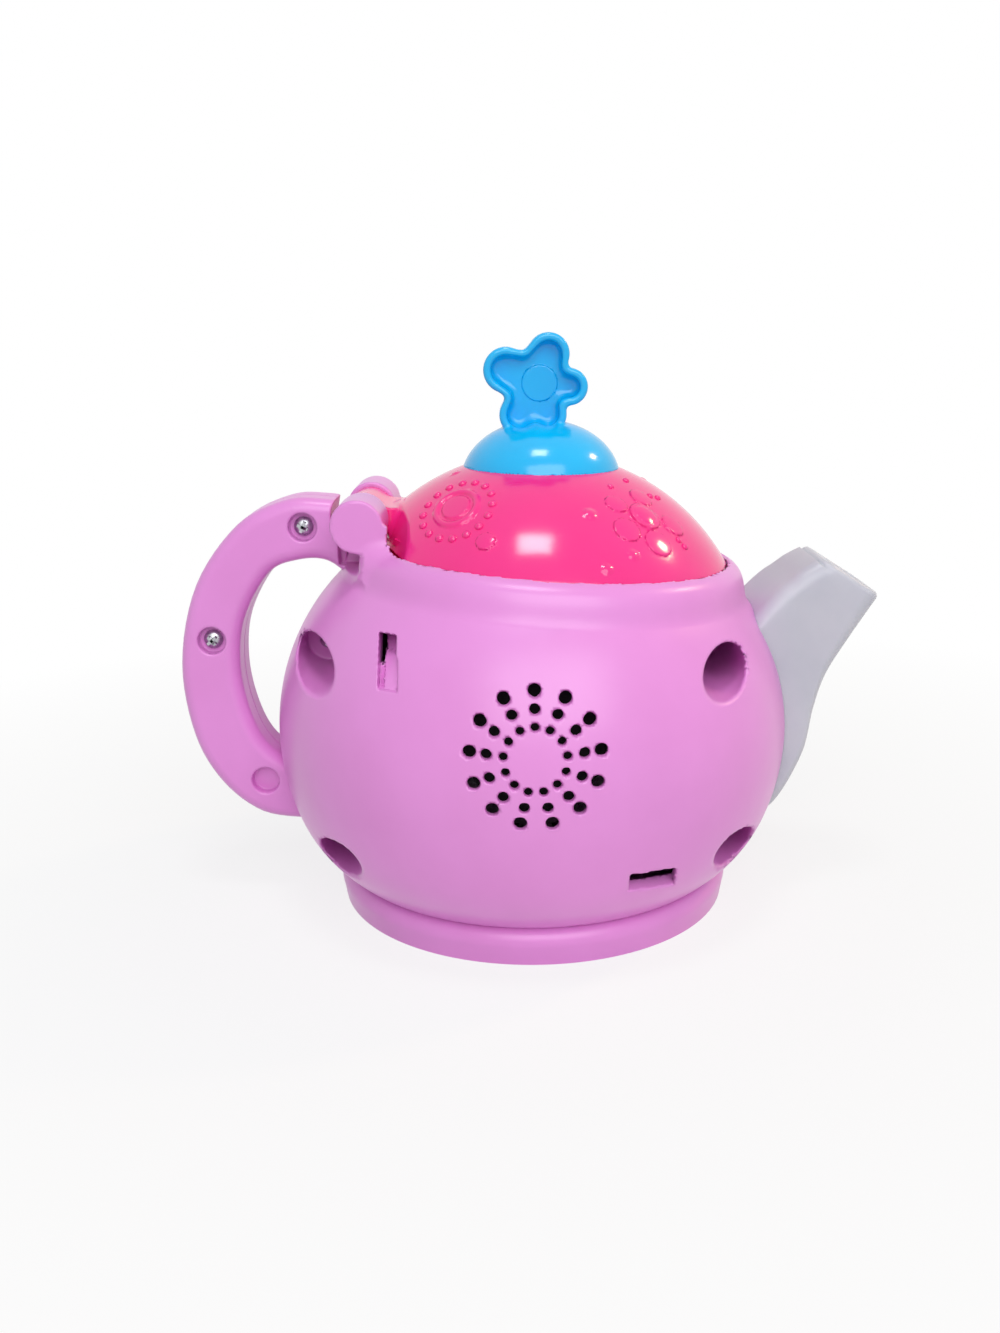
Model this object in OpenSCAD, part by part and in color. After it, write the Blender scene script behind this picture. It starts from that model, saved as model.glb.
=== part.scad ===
// Toy teapot: a round two-shell pot with a hinged lid, a flower knob, a loop handle
// and a translucent light-up spout. Millimetres. The origin is on the pot's axis at the
// underside of the foot; +X points to the spout and -Y to the side with the speaker grille.

/* [Pot] */
// Largest diameter of the belly
body_d = 136; // [130:1:142]
// Height of the belly's widest line above the table
belly_z = 46.7; // [45:0.1:49]
// Radius of the belly's side arc, seen in profile
side_arc = 58; // [56:0.5:60]
// Radius of the tighter arc above the foot
foot_arc = 36; // [33:0.5:39]
// Height at which the side arc hands over to the foot arc
foot_arc_z = 25; // [23:0.5:28]
// Wall of the two shells
wall = 2.2; // [1.8:0.1:2.8]

/* [Mouth] */
// Diameter of the opening under the lid
mouth_d = 95; // [92:0.5:98]
// Distance of the opening's centre from the pot's axis, towards the spout
mouth_x = 4.6; // [3:0.1:6]
// Overhang of the opening's edge over the belly's skin, which sets how high the opening lies
mouth_lap = 4.8; // [4.4:0.1:5.2]
// Tilt of the opening towards the spout, in degrees
mouth_tilt = 4.7; // [2:0.1:7]
// Width of the rolled rim outside the opening
rim_w = 4.6; // [4:0.1:5.4]
// Radius of the rolled rim's section
rim_r = 5.7; // [5:0.1:6.2]
// Depth of the rim section's centre below the opening
rim_drop = 6.6; // [6:0.1:7.2]

/* [Base] */
// Largest diameter of the foot ring
base_d = 106.6; // [105.4:0.2:110]
// Diameter of the foot ring where it meets the table
foot_d = 104.8; // [102:0.2:105.4]
// Width of the foot ring's flat underside
foot_w = 6.4; // [5.4:0.1:7]
// Height of the foot ring, where the shells sit on it
base_h = 9.4; // [9:0.1:10.4]
// Rounding of the foot ring's upper edge
base_round = 4; // [3:0.1:4.6]
// Height of the bottom panel's underside above the table
panel_up = 1.5; // [1.2:0.1:2]
// Thickness of the bottom panel
panel_t = 2.5; // [2.2:0.1:3]

/* [Lid] */
// Radius of the lid's dome
lid_arc = 58.5; // [56:0.5:62]
// Height of the dome's crown above the opening
lid_rise = 24.1; // [23:0.1:26]
// Wall of the lid
lid_wall = 2; // [1.6:0.1:2.4]
// Gap between the lid's edge and the opening
lid_gap = 0.4; // [0.3:0.05:0.7]
// Depth of the lid's edge below the opening
lid_seat = 1.2; // [1:0.1:1.4]
// Thickness of the liner that closes the lid from below
liner_t = 1.6; // [1.2:0.1:2]

/* [Hinge] */
// Distance of the hinge axis inside the opening's edge
hinge_in = 0.6; // [0:0.1:1.2]
// Height of the hinge axis above the opening's centre
hinge_up = 9.4; // [9:0.1:10.4]
// Diameter of the ears and of the lid's knuckle
ear_d = 13.1; // [12:0.1:13.6]
// Width of each ear along the hinge axis
ear_w = 15.9; // [13:0.1:18]
// Width of the lid's knuckle
knuckle_w = 20.4; // [18.4:0.2:21]
// Gap between the knuckle and each ear
ear_gap = 0.3; // [0.2:0.05:0.5]
// Diameter of the hinge pin
pin_d = 3; // [2.4:0.1:3.6]

/* [Knob] */
// Diameter of the blue dome where it meets the lid
knob_d = 40.4; // [38:0.2:43]
// Height of the blue dome
knob_rise = 12; // [11:0.1:13]
// Distance of the blue dome's axis from the pot's axis, towards the spout
knob_x = 3.2; // [2:0.1:5]
// Wall of the blue dome
knob_wall = 2.2; // [1.8:0.1:2.8]
// Distance of the flower's centre from the pot's axis, towards the spout
flower_x = 2.2; // [1:0.1:4]
// Height of the flower's centre above the crown of the blue dome
flower_up = 9.4; // [9:0.1:10.4]
// Radius of one petal
petal_r = 5.4; // [5:0.1:5.8]
// Radius of the circle on which the petals lie
petal_ring = 8; // [7.4:0.1:8.4]
// Number of petals
petals = 5; // [5:1:6]
// Turn of the flower, in degrees
flower_turn = 12.5; // [0:0.5:20]
// Thickness of the flower from face to face
flower_t = 9; // [8:0.5:11]
// Wall round the flower's tray
flower_wall = 1.9; // [1.6:0.1:2.2]
// Floor of the flower's tray
flower_floor = 6.2; // [5.6:0.1:6.8]

/* [Handle] */
// Thickness of the handle, from its rear face to its front face
handle_t = 17.4; // [16.4:0.2:18.4]
// Rounding of the handle's edges
handle_edge = 3.4; // [2.6:0.1:4]
// Wall of the handle's halves
handle_wall = 2; // [1.8:0.1:2.4]
// Diameter of the handle's screw wells
handle_well_d = 7.4; // [7:0.1:8]
// Depth of the handle's screw wells
handle_well_h = 3; // [2.4:0.1:4]

/* [Spout] */
// Half the spout's width at its mouth
spout_half = 13; // [12:0.1:14]
// Rounding of the spout's edges
spout_edge = 4.6; // [4:0.1:5.4]
// Wall of the spout
spout_wall = 2.2; // [1.8:0.1:2.6]
// Depth of the dish in the spout's mouth
spout_dish = 2.4; // [1.8:0.1:3]
// Width of the collar that passes through the shells
collar_w = 20; // [18:0.5:22]
// Height of the collar
collar_h = 24; // [23:0.5:26]
// Reach of the collar behind the inside of the shells
collar_in = 9.6; // [8:0.2:11]

/* [Grille] */
// Height of the grille's centre
grille_z = 57.6; // [55:0.1:59]
// Number of spokes of holes
grille_spokes = 13; // [11:1:14]
// Radius of the inner ring of holes
grille_inner = 7.2; // [6.8:0.1:7.4]
// Radius of the outer ring of holes
grille_outer = 14.8; // [14.2:0.1:15.2]
// Diameter of the holes of the inner ring
hole_inner_d = 2; // [1.6:0.1:2.2]
// Diameter of the holes of the outer ring
hole_outer_d = 3; // [2.6:0.1:3.2]

/* [Screws] */
// Diameter of the screws that join the shells, the handle and the base
screw_d = 2.6; // [2.2:0.1:2.8]
// Diameter of their heads
head_d = 5; // [4.6:0.1:5.4]
// Height of their heads
head_h = 1.9; // [1.6:0.1:2.2]
// Diameter of the wells in the rear shell
well_d = 12; // [11:0.1:12.4]
// Wall round a well
well_wall = 1.8; // [1.4:0.1:2]
// Floor of a well, between the screw's head and the parting plane
well_floor = 4; // [3:0.1:5]
// Diameter of the posts in the front shell
post_d = 9; // [8:0.1:10]
// Clearance of a part that seats in another
seat_gap = 0.15; // [0.1:0.01:0.2]
// Radial clearance of a pin or a screw in its hole
fit_gap = 0.05; // [0.03:0.01:0.08]

/* [Electrics] */
// Diameter of a battery cell
cell_d = 14.5; // [14:0.1:14.8]
// Length of a battery cell with its button
cell_l = 50.5; // [48:0.1:51]
// Distance of the battery box from the pot's axis, away from the grille
box_y = 4; // [3:0.1:5]
// Length of a battery spring
spring_l = 5.7; // [5:0.1:6.4]
// Wall of the battery box
box_wall = 1.6; // [1.4:0.1:2]
// Thickness of the battery door
door_t = 1.5; // [1.3:0.1:1.6]
// Diameter of the speaker
speaker_d = 40; // [38:0.5:41]
// Depth of the speaker's magnet
magnet_h = 7; // [6:0.5:9]
// Thickness of the circuit boards
board_t = 1.6; // [1.2:0.1:2]
// Travel of the power switch to each side
switch_travel = 3; // [2.5:0.1:3.2]
// Diameter of the tilt switch's ball
ball_d = 4.4; // [4:0.1:4.6]
// Slope of the tilt switch's tube, in degrees
tilt_slope = 8; // [5:1:12]
// Diameter of the lamps behind the spout
lamp_d = 5; // [4.6:0.1:5.2]
// Diameter of the wires
lead_d = 1.8; // [1.4:0.1:2]

/* [Hidden] */
$fn = 96;
far = 200;
cut = 1;
PINK = "#E69BDD";
HOT_PINK = "#F23F93";
SKY_BLUE = "#2FB0F0";
MILK = "#C6C4CB";
STEEL = "#B8BABD";
BOARD_GREEN = "#2E6B3A";
DARK = "#2B2B2E";

// Belly profile: a side arc that hands over to a foot arc, all but tangent to it
body_r = body_d / 2;
side_off = body_r - side_arc;
foot_turn = asin((foot_arc_z - belly_z) / side_arc);
foot_ease = 0.06;
foot_cx = side_off + (side_arc - foot_arc + foot_ease) * cos(foot_turn);
foot_cz = belly_z + (side_arc - foot_arc + foot_ease) * sin(foot_turn);
function handover_z(inset) = belly_z + (side_arc - inset) * sin(foot_turn);
function side_r(z, inset) = side_off + sqrt(pow(side_arc - inset, 2) - pow(z - belly_z, 2));
function foot_r(z, inset) = foot_cx + sqrt(pow(foot_arc - inset, 2) - pow(z - foot_cz, 2));
function belly_r(z, inset = 0) = z > handover_z(inset)
    ? side_r(z, inset)
    : min(side_r(z, inset), foot_r(z, inset));

// Mouth, lid and hinge
mouth_r = mouth_d / 2;
mouth_z = belly_z + sqrt(pow(side_arc, 2) - pow(mouth_r - mouth_lap - side_off, 2));
rim_c = mouth_r + rim_w - rim_r;
ledge_t = 2;
ledge_in = 6;
tray_flange = 1;
ledge_drop = lid_seat + lid_gap + 1.4;
lid_r = mouth_r - lid_gap;
lid_cz = lid_rise - lid_arc;
hinge_x = mouth_x - mouth_r + hinge_in;
hinge_z = mouth_z + hinge_up;
ear_r = ear_d / 2;
ear_y = knuckle_w / 2 + ear_gap;
pin_half = ear_y + ear_w - 4.4;
trim_r = ear_r + 2 * lid_gap;
rim_scoop = ear_r + lid_gap;
handle_scoop = ear_r + 2;
web_l = 10;
web_h = 5.6;
liner_z = 0.4;
liner_fit_r = sqrt(pow(lid_arc - lid_wall, 2) - pow(liner_z + liner_t - lid_cz, 2));
liner_r = min(liner_fit_r, lid_r - lid_wall) - 2 * seat_gap;
liner_post_in = 8.3;
liner_post_ring = liner_r - liner_post_in;
liner_post_d = 6.4;
knob_edge_z = mouth_z + lid_cz * cos(mouth_tilt) + sqrt(pow(lid_arc, 2) - pow(knob_d / 2, 2));
knob_arc = (pow(knob_d / 2, 2) + pow(knob_rise, 2)) / (2 * knob_rise);
knob_cz = knob_edge_z + knob_rise - knob_arc;
knob_screw_y = 10;
knob_pad_d = 7.2;
knob_pad_z = knob_edge_z - 2;
flower_z = knob_edge_z + knob_rise + flower_up;

// Screws
screw_r = screw_d / 2;
head_r = head_d / 2;
small_head_r = head_r - 0.5;
head_gap = 0.6;
recess_w = 0.7;
recess_h = 0.9;
hole_r = screw_r + 3 * fit_gap;
pilot_r = screw_r + fit_gap;
well_r = well_d / 2;
body_screw_l = 12;
handle_screw_l = 9;
small_screw_l = 6;
WELLS = [
    [-body_r + 14.5, belly_z + 24.3],
    [body_r - 22.5, belly_z + 23.8],
    [body_r - 18.3, belly_z - 22.7],
    [-body_r + 19.5, belly_z - 23.7]
];

// Handle: outer and inner edge at each station, from the hinge down to the belly
HANDLE_TOP = [
    [-1.3, 2.8, -2.7, -18],
    [-10.5, 4.5, -10.2, -11.7],
    [-20.6, 4.3, -18.7, -11.5],
    [-33.4, -2, -26.2, -15]
];
HANDLE_SIDE = [
    [-19.6, 39.6, -7.6, 30.1],
    [-25, 18.7, -9.4, 16.9],
    [-23.1, -1.3, -7.4, 4.2],
    [-16.5, -15, -3, -4.9],
    [-6, -23.9, 5.1, -10.5],
    [6.9, -26.1, 15.2, -12.6]
];
HANDLE = concat(
    [for (s = HANDLE_TOP) [hinge_x + s[0], hinge_z + s[1], hinge_x + s[2], hinge_z + s[3]]],
    [for (s = HANDLE_SIDE) [s[0] - body_r, s[1] + belly_z, s[2] - body_r, s[3] + belly_z]]
);
HANDLE_SCREWS = [
    [hinge_x - 15.8, hinge_z - 1.9],
    [-body_r - 15.3, belly_z + 25.7],
    [-body_r - 3.6, belly_z - 12.3]
];
handle_post_d = handle_well_d + 3.6;
tongue_half = 6;
tongue_top_z = hinge_z - 13.5;
tongue_top_h = 4.6;
tongue_out = 10;
tongue_in = 4;
tongue_low_z = belly_z - 14.7;
tongue_low_h = 10;
flange_t = 2;
flange_lap = 2.5;

// Spout: top and bottom edge and half width at each station, from the belly to the mouth
SPOUT = [for (s = [
    [-15.6, 24.1, -12.8, -25, 5],
    [-9, 32.4, -4, -20.6, 4],
    [-4.5, 37.2, 3.4, -7.5, 3],
    [-1, 40, 6.1, 4.7, 2],
    [1.9, 42.3, 9.2, 14.1, 1.3],
    [4.9, 44.1, 15.6, 24.6, 0.6],
    [7, 45.2, 22.6, 35.1, 0]
]) [s[0] + body_r, s[1] + belly_z, s[2] + body_r, s[3] + belly_z, s[4] + spout_half]];
collar_z = belly_z + 1.3;
collar_end = belly_r(collar_z, wall) - collar_in;
collar_lap = 1.5;
passage_w = 16;
passage_h = 13;
passage_out = 8;
lamp_y = 3.6;
lamp_l = 6;
lamp_flange = 0.4;
led_screw_z = (collar_h + passage_h) / 4;

// Base, battery box and boards
base_r = base_d / 2;
foot_in = foot_d / 2 - foot_w;
panel_z = panel_up + panel_t;
base_screw_r = foot_in - 1;
base_screw_turns = [20, 160, 200, 340];
base_post_r = 4.4;
base_head_z = panel_z + 1;
lug_h = 5.1;
door_z = panel_up + door_t;
door_lap = 2;
contact_t = 0.4;
cell_gap = 0.3;
box_l = cell_l + spring_l + 2 * contact_t;
box_w = 2 * cell_d + 4 * cell_gap;
cell_z = door_z + cell_gap + cell_d / 2;
cell_y = cell_d / 2 + cell_gap;
roof_z = cell_z + cell_d / 2 + cell_gap;
roof_top = roof_z + box_wall;
button_d = 5.5;
button_h = 1.2;
door_tab_l = 9.5;
door_tab_w = 10;
door_screw_x = -box_l / 2 - box_wall - 5.5;
door_post_r = 3.6;
door_screw_l = 7;
board_up = 4.2;
board_z = roof_top + board_up;
board_l = box_l - 1;
board_w = box_w - 2;
board_post = [board_l / 2 - 4, board_w / 2 - 3.4];
board_post_r = 2.8;
board_top = board_z + board_t;
switch_y = box_y - box_w / 2 - box_wall - 15;
stem = 4;
stem_out = 0.7;
slide_gap = 0.3;
case_wall = 1.4;
slider_l = 8;
slider_w = 5.4;
slider_h = 3.2;
switch_l = slider_l + 2 * switch_travel + 4 * slide_gap + 2 * case_wall;
switch_w = slider_w + 2 * slide_gap + 2 * case_wall;
switch_h = slider_h + 2 * slide_gap + case_wall;
stake_r = 1;
stake_x = switch_l / 2 + 2.4;

// Speaker
speaker_r = speaker_d / 2;
speaker_front = belly_r(grille_z + speaker_r, wall) - 2;
speaker_flange = 2;
speaker_back = speaker_front - speaker_flange;
seat_r = speaker_r + 2 * seat_gap;
seat_wall = 2;
basket_h = 7.5;
basket_t = 1;
cone_r = speaker_r - 3.2;
magnet_r = 0.55 * speaker_r;
speaker_screw_ring = seat_r + seat_wall + 0.9;
speaker_post_r = 2.9;
speaker_head_r = 4.6;

// Tilt switch
ball_r = ball_d / 2;
tube_r = ball_r + 0.2;
tube_wall = 1;
tube_l = 11;
tilt_at = [6, box_y - 7, board_top + tube_r + tube_wall + tube_l / 2 * sin(tilt_slope) + 0.4];

// Wire routes, from the main board to what they feed
SPEAKER_ROUTE = [
    [-4, box_y - 11, board_top],
    [-4, box_y - 11, board_top + 5],
    [-6, box_y - 22, grille_z - 21],
    [-10, -34, grille_z - 15.6],
    [-12, -44, grille_z - 14.4],
    [-12, -speaker_back, grille_z - 14.4]
];
LED_ROUTE = [
    [24, box_y + 2, board_top],
    [24, box_y + 2, board_top + 6],
    [33, 6, collar_z - 6],
    [43, 7.5, collar_z],
    [collar_end - board_t, 7.5, collar_z]
];
SWITCH_ROUTE = [
    [-12, box_y - 11, board_top],
    [-12, box_y - 11, board_top + 4],
    [-10, switch_y + 10, board_top - 3],
    [-5, switch_y, panel_z + switch_h + 8],
    [-5, switch_y, panel_z + switch_h]
];

// Helpers for smooth lofts

// Catmull-Rom point at parameter t along a list of stations
function spline(list, t) =
    let (
        i = min(floor(t), len(list) - 2),
        u = t - i,
        a = list[max(i - 1, 0)],
        b = list[i],
        c = list[i + 1],
        d = list[min(i + 2, len(list) - 1)]
    )
    0.5 * (2 * b + u * (c - a) + u * u * (2 * a - 5 * b + 4 * c - d) + u * u * u * (3 * b - a - 3 * c + d));

// Arc of a rounded corner about a centre, from one angle to another
function corner(cx, cy, r, from, to, steps) =
    [for (i = [0:steps]) let (a = from + (to - from) * i / steps) [cx + r * cos(a), cy + r * sin(a)]];

// Closed solid through rings of equally many points, with flat ends
module loft(rings) {
    n = len(rings[0]);
    m = len(rings);
    points = [for (ring = rings) each ring];
    sides = [for (i = [0:m - 2], j = [0:n - 1]) let (k = (j + 1) % n)
        each [[i * n + j, i * n + k, (i + 1) * n + j], [i * n + k, (i + 1) * n + k, (i + 1) * n + j]]];
    start = [for (j = [n - 1:-1:0]) j];
    end = [for (j = [0:n - 1]) (m - 1) * n + j];
    polyhedron(points, concat(sides, [start, end]));
}

// Round tube along a route of points
module tube(route, d, steps, sides) {
    count = (len(route) - 1) * steps;
    path = [for (i = [0:count]) spline(route, i / steps)];
    loft([for (i = [0:count])
        let (
            ahead = i == 0 ? route[1] - route[0]
                : i == count ? route[len(route) - 1] - route[len(route) - 2]
                : path[i + 1] - path[i - 1],
            z = ahead / norm(ahead),
            side = cross(z, abs(z[1]) < 0.9 ? [0, 1, 0] : [1, 0, 0]),
            x = side / norm(side),
            y = cross(z, x)
        )
        [for (j = [0:sides - 1]) path[i] + d / 2 * (cos(360 * j / sides) * x - sin(360 * j / sides) * y)]]);
}

// Frames and cutters

// Frame of the mouth: its centre, with Z along the lid's tilted axis
module mouth_frame() {
    translate([mouth_x, 0, mouth_z]) rotate([0, mouth_tilt, 0]) children();
}

// Cylinder along Y between two stations, on an axis at x and z
module along_y(x, z, from, to, r, r2 = undef) {
    translate([x, from, z]) rotate([-90, 0, 0]) cylinder(h = to - from, r1 = r, r2 = r2 == undef ? r : r2);
}

// Cylinder along the hinge axis, centred on the parting plane
module about_hinge(r, half) {
    along_y(hinge_x, hinge_z, -half, half, r);
}

// Everything on one side of the parting plane: -1 is the rear, 1 the front
module half_space(side) {
    translate([-far, side < 0 ? -far : 0, -far]) cube([2 * far, far, 2 * far]);
}

// Solid of the belly, from the foot ring up, with its surface set inwards
module belly(inset = 0) {
    rotate_extrude() intersection() {
        translate([side_off, belly_z]) circle(r = side_arc - inset, $fn = 180);
        translate([0, base_h]) square([far, mouth_z - base_h + 4]);
        union() {
            translate([foot_cx, foot_cz]) circle(r = foot_arc - inset, $fn = 180);
            translate([0, base_h]) square([foot_cx, far]);
            translate([0, handover_z(inset)]) square([far, far]);
        }
    }
}

// Everything above a plane that lies a given depth below the opening
module above_mouth(drop) {
    mouth_frame() translate([-far, -far, -drop]) cube([2 * far, 2 * far, far]);
}

module pot_outside() {
    difference() {
        belly();
        above_mouth(rim_drop);
    }
    mouth_frame() rotate_extrude() translate([rim_c, -rim_drop]) circle(r = rim_r);
}

module pot_inside() {
    difference() {
        belly(wall);
        above_mouth(rim_drop);
    }
    mouth_frame() translate([0, 0, -rim_drop - cut]) cylinder(r = mouth_r, h = rim_drop + rim_r + cut);
}

// Screw with a pan head: the head's seat is at z = 0 and the shank points down
module screw(length, hr = head_r, hh = head_h) {
    translate([0, 0, -length]) cylinder(h = length + cut / 2, r = screw_r);
    difference() {
        cylinder(h = hh, r = hr);
        for (turn = [0, 90]) rotate(turn) translate([-hr / 2, -recess_w / 2, hh - recess_h])
            cube([hr, recess_w, cut]);
    }
}

// Screw whose head faces the rear
module rear_screw(x, y, z, length) {
    translate([x, y, z]) rotate([90, 0, 0]) screw(length);
}

// Pot

module tray_screw_places() {
    for (turn = [60, 120, 240, 300]) mouth_frame() rotate(turn)
        translate([mouth_r - ledge_in / 2 - 0.4, 0, -ledge_drop]) children();
}

module base_screw_places() {
    for (turn = base_screw_turns) rotate(turn) translate([base_screw_r, 0, 0]) children();
}

// Ledge under the tray, with its screw posts, and the lugs for the base's screws
module shell_seats(side) {
    intersection() {
        half_space(side);
        union() {
            mouth_frame() translate([0, 0, -ledge_drop - ledge_t]) difference() {
                cylinder(r = mouth_r + cut, h = ledge_t);
                translate([0, 0, -cut]) cylinder(r = mouth_r - ledge_in, h = ledge_t + 2 * cut);
            }
            tray_screw_places() translate([0, 0, -small_screw_l - ledge_t])
                cylinder(h = small_screw_l + ledge_t / 2, r = ledge_in / 2);
            intersection() {
                belly(wall / 2);
                base_screw_places() {
                    translate([0, 0, base_h]) cylinder(h = lug_h, r = base_post_r);
                    translate([0, -base_post_r, base_h]) cube([body_r, 2 * base_post_r, lug_h]);
                }
            }
        }
    }
}

// Windows of the handle's tongues and the spout's collar
module shell_windows() {
    slack = seat_gap;
    translate([hinge_x - tongue_out - cut, -tongue_half - slack, tongue_top_z - tongue_top_h / 2 - slack])
        cube([tongue_out + cut + ledge_in, 2 * (tongue_half + slack), tongue_top_h + 2 * slack]);
    translate([-body_r - cut, -tongue_half - slack, tongue_low_z - tongue_low_h / 2 - slack])
        cube([body_r / 4, 2 * (tongue_half + slack), tongue_low_h + 2 * slack]);
    translate([collar_end, -collar_w / 2 - slack, collar_z - collar_h / 2 - slack])
        cube([body_r / 2, collar_w + 2 * slack, collar_h + 2 * slack]);
}

// One half of the pot's skin with its hinge ear, which stands on the rim
module shell_half(side) {
    intersection() {
        half_space(side);
        difference() {
            pot_outside();
            pot_inside();
        }
    }
    shell_seats(side);
    ear_from = side < 0 ? -ear_y - ear_w : ear_y;
    along_y(hinge_x, hinge_z, ear_from, ear_from + ear_w, ear_r);
    intersection() {
        translate([hinge_x - ear_r / 2, ear_from, mouth_z]) cube([ear_d, ear_w, hinge_up]);
        mouth_frame() difference() {
            translate([0, 0, -rim_r]) cylinder(r = mouth_r + rim_w, h = far);
            translate([0, 0, -far]) cylinder(r = mouth_r, h = 2 * far);
        }
    }
}

// What both halves leave free: hinge, tray and base screws and windows
module shell_cuts() {
    about_hinge(rim_scoop, ear_y);
    about_hinge(pin_d / 2 + fit_gap, pin_half + ear_gap);
    tray_screw_places() translate([0, 0, -small_screw_l]) cylinder(h = small_screw_l + cut, r = pilot_r);
    base_screw_places() translate([0, 0, base_h - cut]) cylinder(h = lug_h + 2 * cut, r = pilot_r);
    shell_windows();
}

// Perforations over the speaker, larger from ring to ring
module grille() {
    for (ring = [0:2], spoke = [0:grille_spokes - 1]) {
        r = grille_inner + (grille_outer - grille_inner) * ring / 2;
        a = 90 + 360 * spoke / grille_spokes;
        d = hole_inner_d + (hole_outer_d - hole_inner_d) * ring / 2;
        along_y(r * cos(a), grille_z + r * sin(a), -body_r, -speaker_front, d / 2);
    }
}

// Seat of the speaker behind the grille, with three screw bosses
module speaker_seat() {
    difference() {
        union() {
            along_y(0, grille_z, -body_r, -speaker_back, seat_r + seat_wall);
            speaker_screw_places(-body_r) cylinder(h = body_r - speaker_back, r = speaker_post_r);
        }
        along_y(0, grille_z, -body_r, -speaker_back + cut, cone_r + basket_t / 2);
        along_y(0, grille_z, -speaker_front, -speaker_back + cut, seat_r);
    }
}

// Places of the speaker's screws, with Z along +Y
module speaker_screw_places(y) {
    for (turn = [30, 150, 270])
        translate([speaker_screw_ring * cos(turn), y, grille_z + speaker_screw_ring * sin(turn)])
            rotate([-90, 0, 0]) children();
}

// Openings that the moulds leave in the rear shell: a stepped upright one and a jogged level one
module shell_slots() {
    upright = [-body_r + 35.5, mouth_z - 18.1];
    level = [body_r - 40.5, belly_z - 22.4];
    slot_w = 4.6;
    step = 0.8;
    translate([upright[0] - slot_w / 2, -body_r, upright[1] - 7.4]) cube([slot_w, body_r - 12, 8]);
    translate([upright[0] - slot_w / 2 + step, -body_r, upright[1]]) cube([slot_w - step, body_r - 12, 7.4]);
    translate([level[0] - 6, -body_r, level[1] - slot_w / 2]) cube([6.5, body_r - 12, slot_w - step]);
    translate([level[0], -body_r, level[1] - slot_w / 2 + step]) cube([6, body_r - 12, slot_w - step]);
}

module rear_shell() {
    color(PINK) difference() {
        union() {
            shell_half(-1);
            intersection() {
                belly(wall / 2);
                union() {
                    for (w = WELLS) along_y(w[0], w[1], -body_r, 0, well_r + well_wall);
                    speaker_seat();
                }
            }
        }
        for (w = WELLS) {
            along_y(w[0], w[1], -body_r, -well_floor, well_r);
            along_y(w[0], w[1], -body_r, cut, hole_r);
        }
        speaker_screw_places(-speaker_back - small_screw_l) cylinder(h = small_screw_l + cut, r = pilot_r);
        grille();
        shell_slots();
        shell_cuts();
    }
}

module front_shell() {
    color(PINK) difference() {
        union() {
            shell_half(1);
            intersection() {
                belly(wall / 2);
                for (w = WELLS) along_y(w[0], w[1], 0, body_r, post_d / 2);
            }
        }
        for (w = WELLS) along_y(w[0], w[1], -cut, body_screw_l, pilot_r);
        shell_cuts();
    }
}

module body_screws() {
    color(STEEL) for (w = WELLS) rear_screw(w[0], -well_floor, w[1], body_screw_l);
}

// Handle

// Ring of one half at a station of the handle: flat on the parting plane, rounded outside
function handle_ring(s, side) =
    let (
        outer = [s[0], s[1]],
        inner = [s[2], s[3]],
        width = norm(inner - outer),
        dir = (inner - outer) / width,
        deep = handle_t / 2,
        r = handle_edge,
        section = concat(
            [[0, 0]],
            corner(r, deep - r, r, 180, 90, 3),
            corner(width - r, deep - r, r, 90, 0, 3),
            [[width, 0]]
        )
    )
    [for (p = section) [outer[0] + dir[0] * p[0], side * p[1], outer[1] + dir[1] * p[0]]];

module handle_skin(side) {
    steps = 3;
    count = (len(HANDLE) - 1) * steps;
    rings = [for (i = [0:count]) handle_ring(spline(HANDLE, i / steps), side)];
    loft(side < 0 ? rings : [for (i = [count:-1:0]) rings[i]]);
}

// Point on the outer or the inner wall's inside, at a station of the handle
function handle_inside(s, far_side) =
    let (
        outer = [s[0], s[1]],
        inner = [s[2], s[3]],
        dir = (inner - outer) / norm(inner - outer)
    )
    far_side ? inner - dir * handle_wall : outer + dir * handle_wall;

// Hollow of the handle between its ends, with the screw posts left standing
module handle_hollow() {
    stations = [for (t = [1.6:0.25:6.7]) spline(HANDLE, t)];
    difference() {
        rotate([90, 0, 0]) linear_extrude(handle_t - 2 * handle_wall, center = true) polygon(concat(
            [for (s = stations) handle_inside(s, false)],
            [for (i = [len(stations) - 1:-1:0]) handle_inside(stations[i], true)]
        ));
        for (p = HANDLE_SCREWS) along_y(p[0], p[1], -handle_t, handle_t, handle_post_d / 2);
    }
}

// Tongues that pass through the shells, each with a flange behind the wall
module handle_tongues(side) {
    y0 = side < 0 ? -tongue_half : 0;
    top_low = tongue_top_z - tongue_top_h / 2;
    translate([hinge_x - tongue_out, y0, top_low]) cube([tongue_out + tongue_in, tongue_half, tongue_top_h]);
    translate([hinge_x + tongue_in - flange_t, y0, top_low - flange_lap])
        cube([flange_t, tongue_half, tongue_top_h + flange_lap]);
    reach = belly_r(tongue_low_z - tongue_low_h / 2, wall) - flange_t;
    difference() {
        translate([-body_r - 4, y0, tongue_low_z - tongue_low_h / 2])
            cube([body_r + 4 - reach + 1.5, tongue_half, tongue_low_h]);
        belly(wall + seat_gap + flange_t);
    }
    difference() {
        intersection() {
            translate([-body_r, y0, tongue_low_z - tongue_low_h / 2 - flange_lap])
                cube([body_r / 3, tongue_half, tongue_low_h + 2 * flange_lap]);
            belly(wall + seat_gap);
        }
        belly(wall + seat_gap + flange_t);
    }
}

// One half of the handle, before its screw holes
module handle_half(side) {
    difference() {
        handle_skin(side);
        handle_hollow();
        belly(-seat_gap);
        mouth_frame() rotate_extrude() translate([rim_c, -rim_drop]) circle(r = rim_r + seat_gap);
        mouth_frame() translate([0, 0, -rim_drop - cut]) cylinder(r = mouth_r, h = far);
        about_hinge(handle_scoop, handle_t);
    }
    handle_tongues(side);
}

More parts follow.
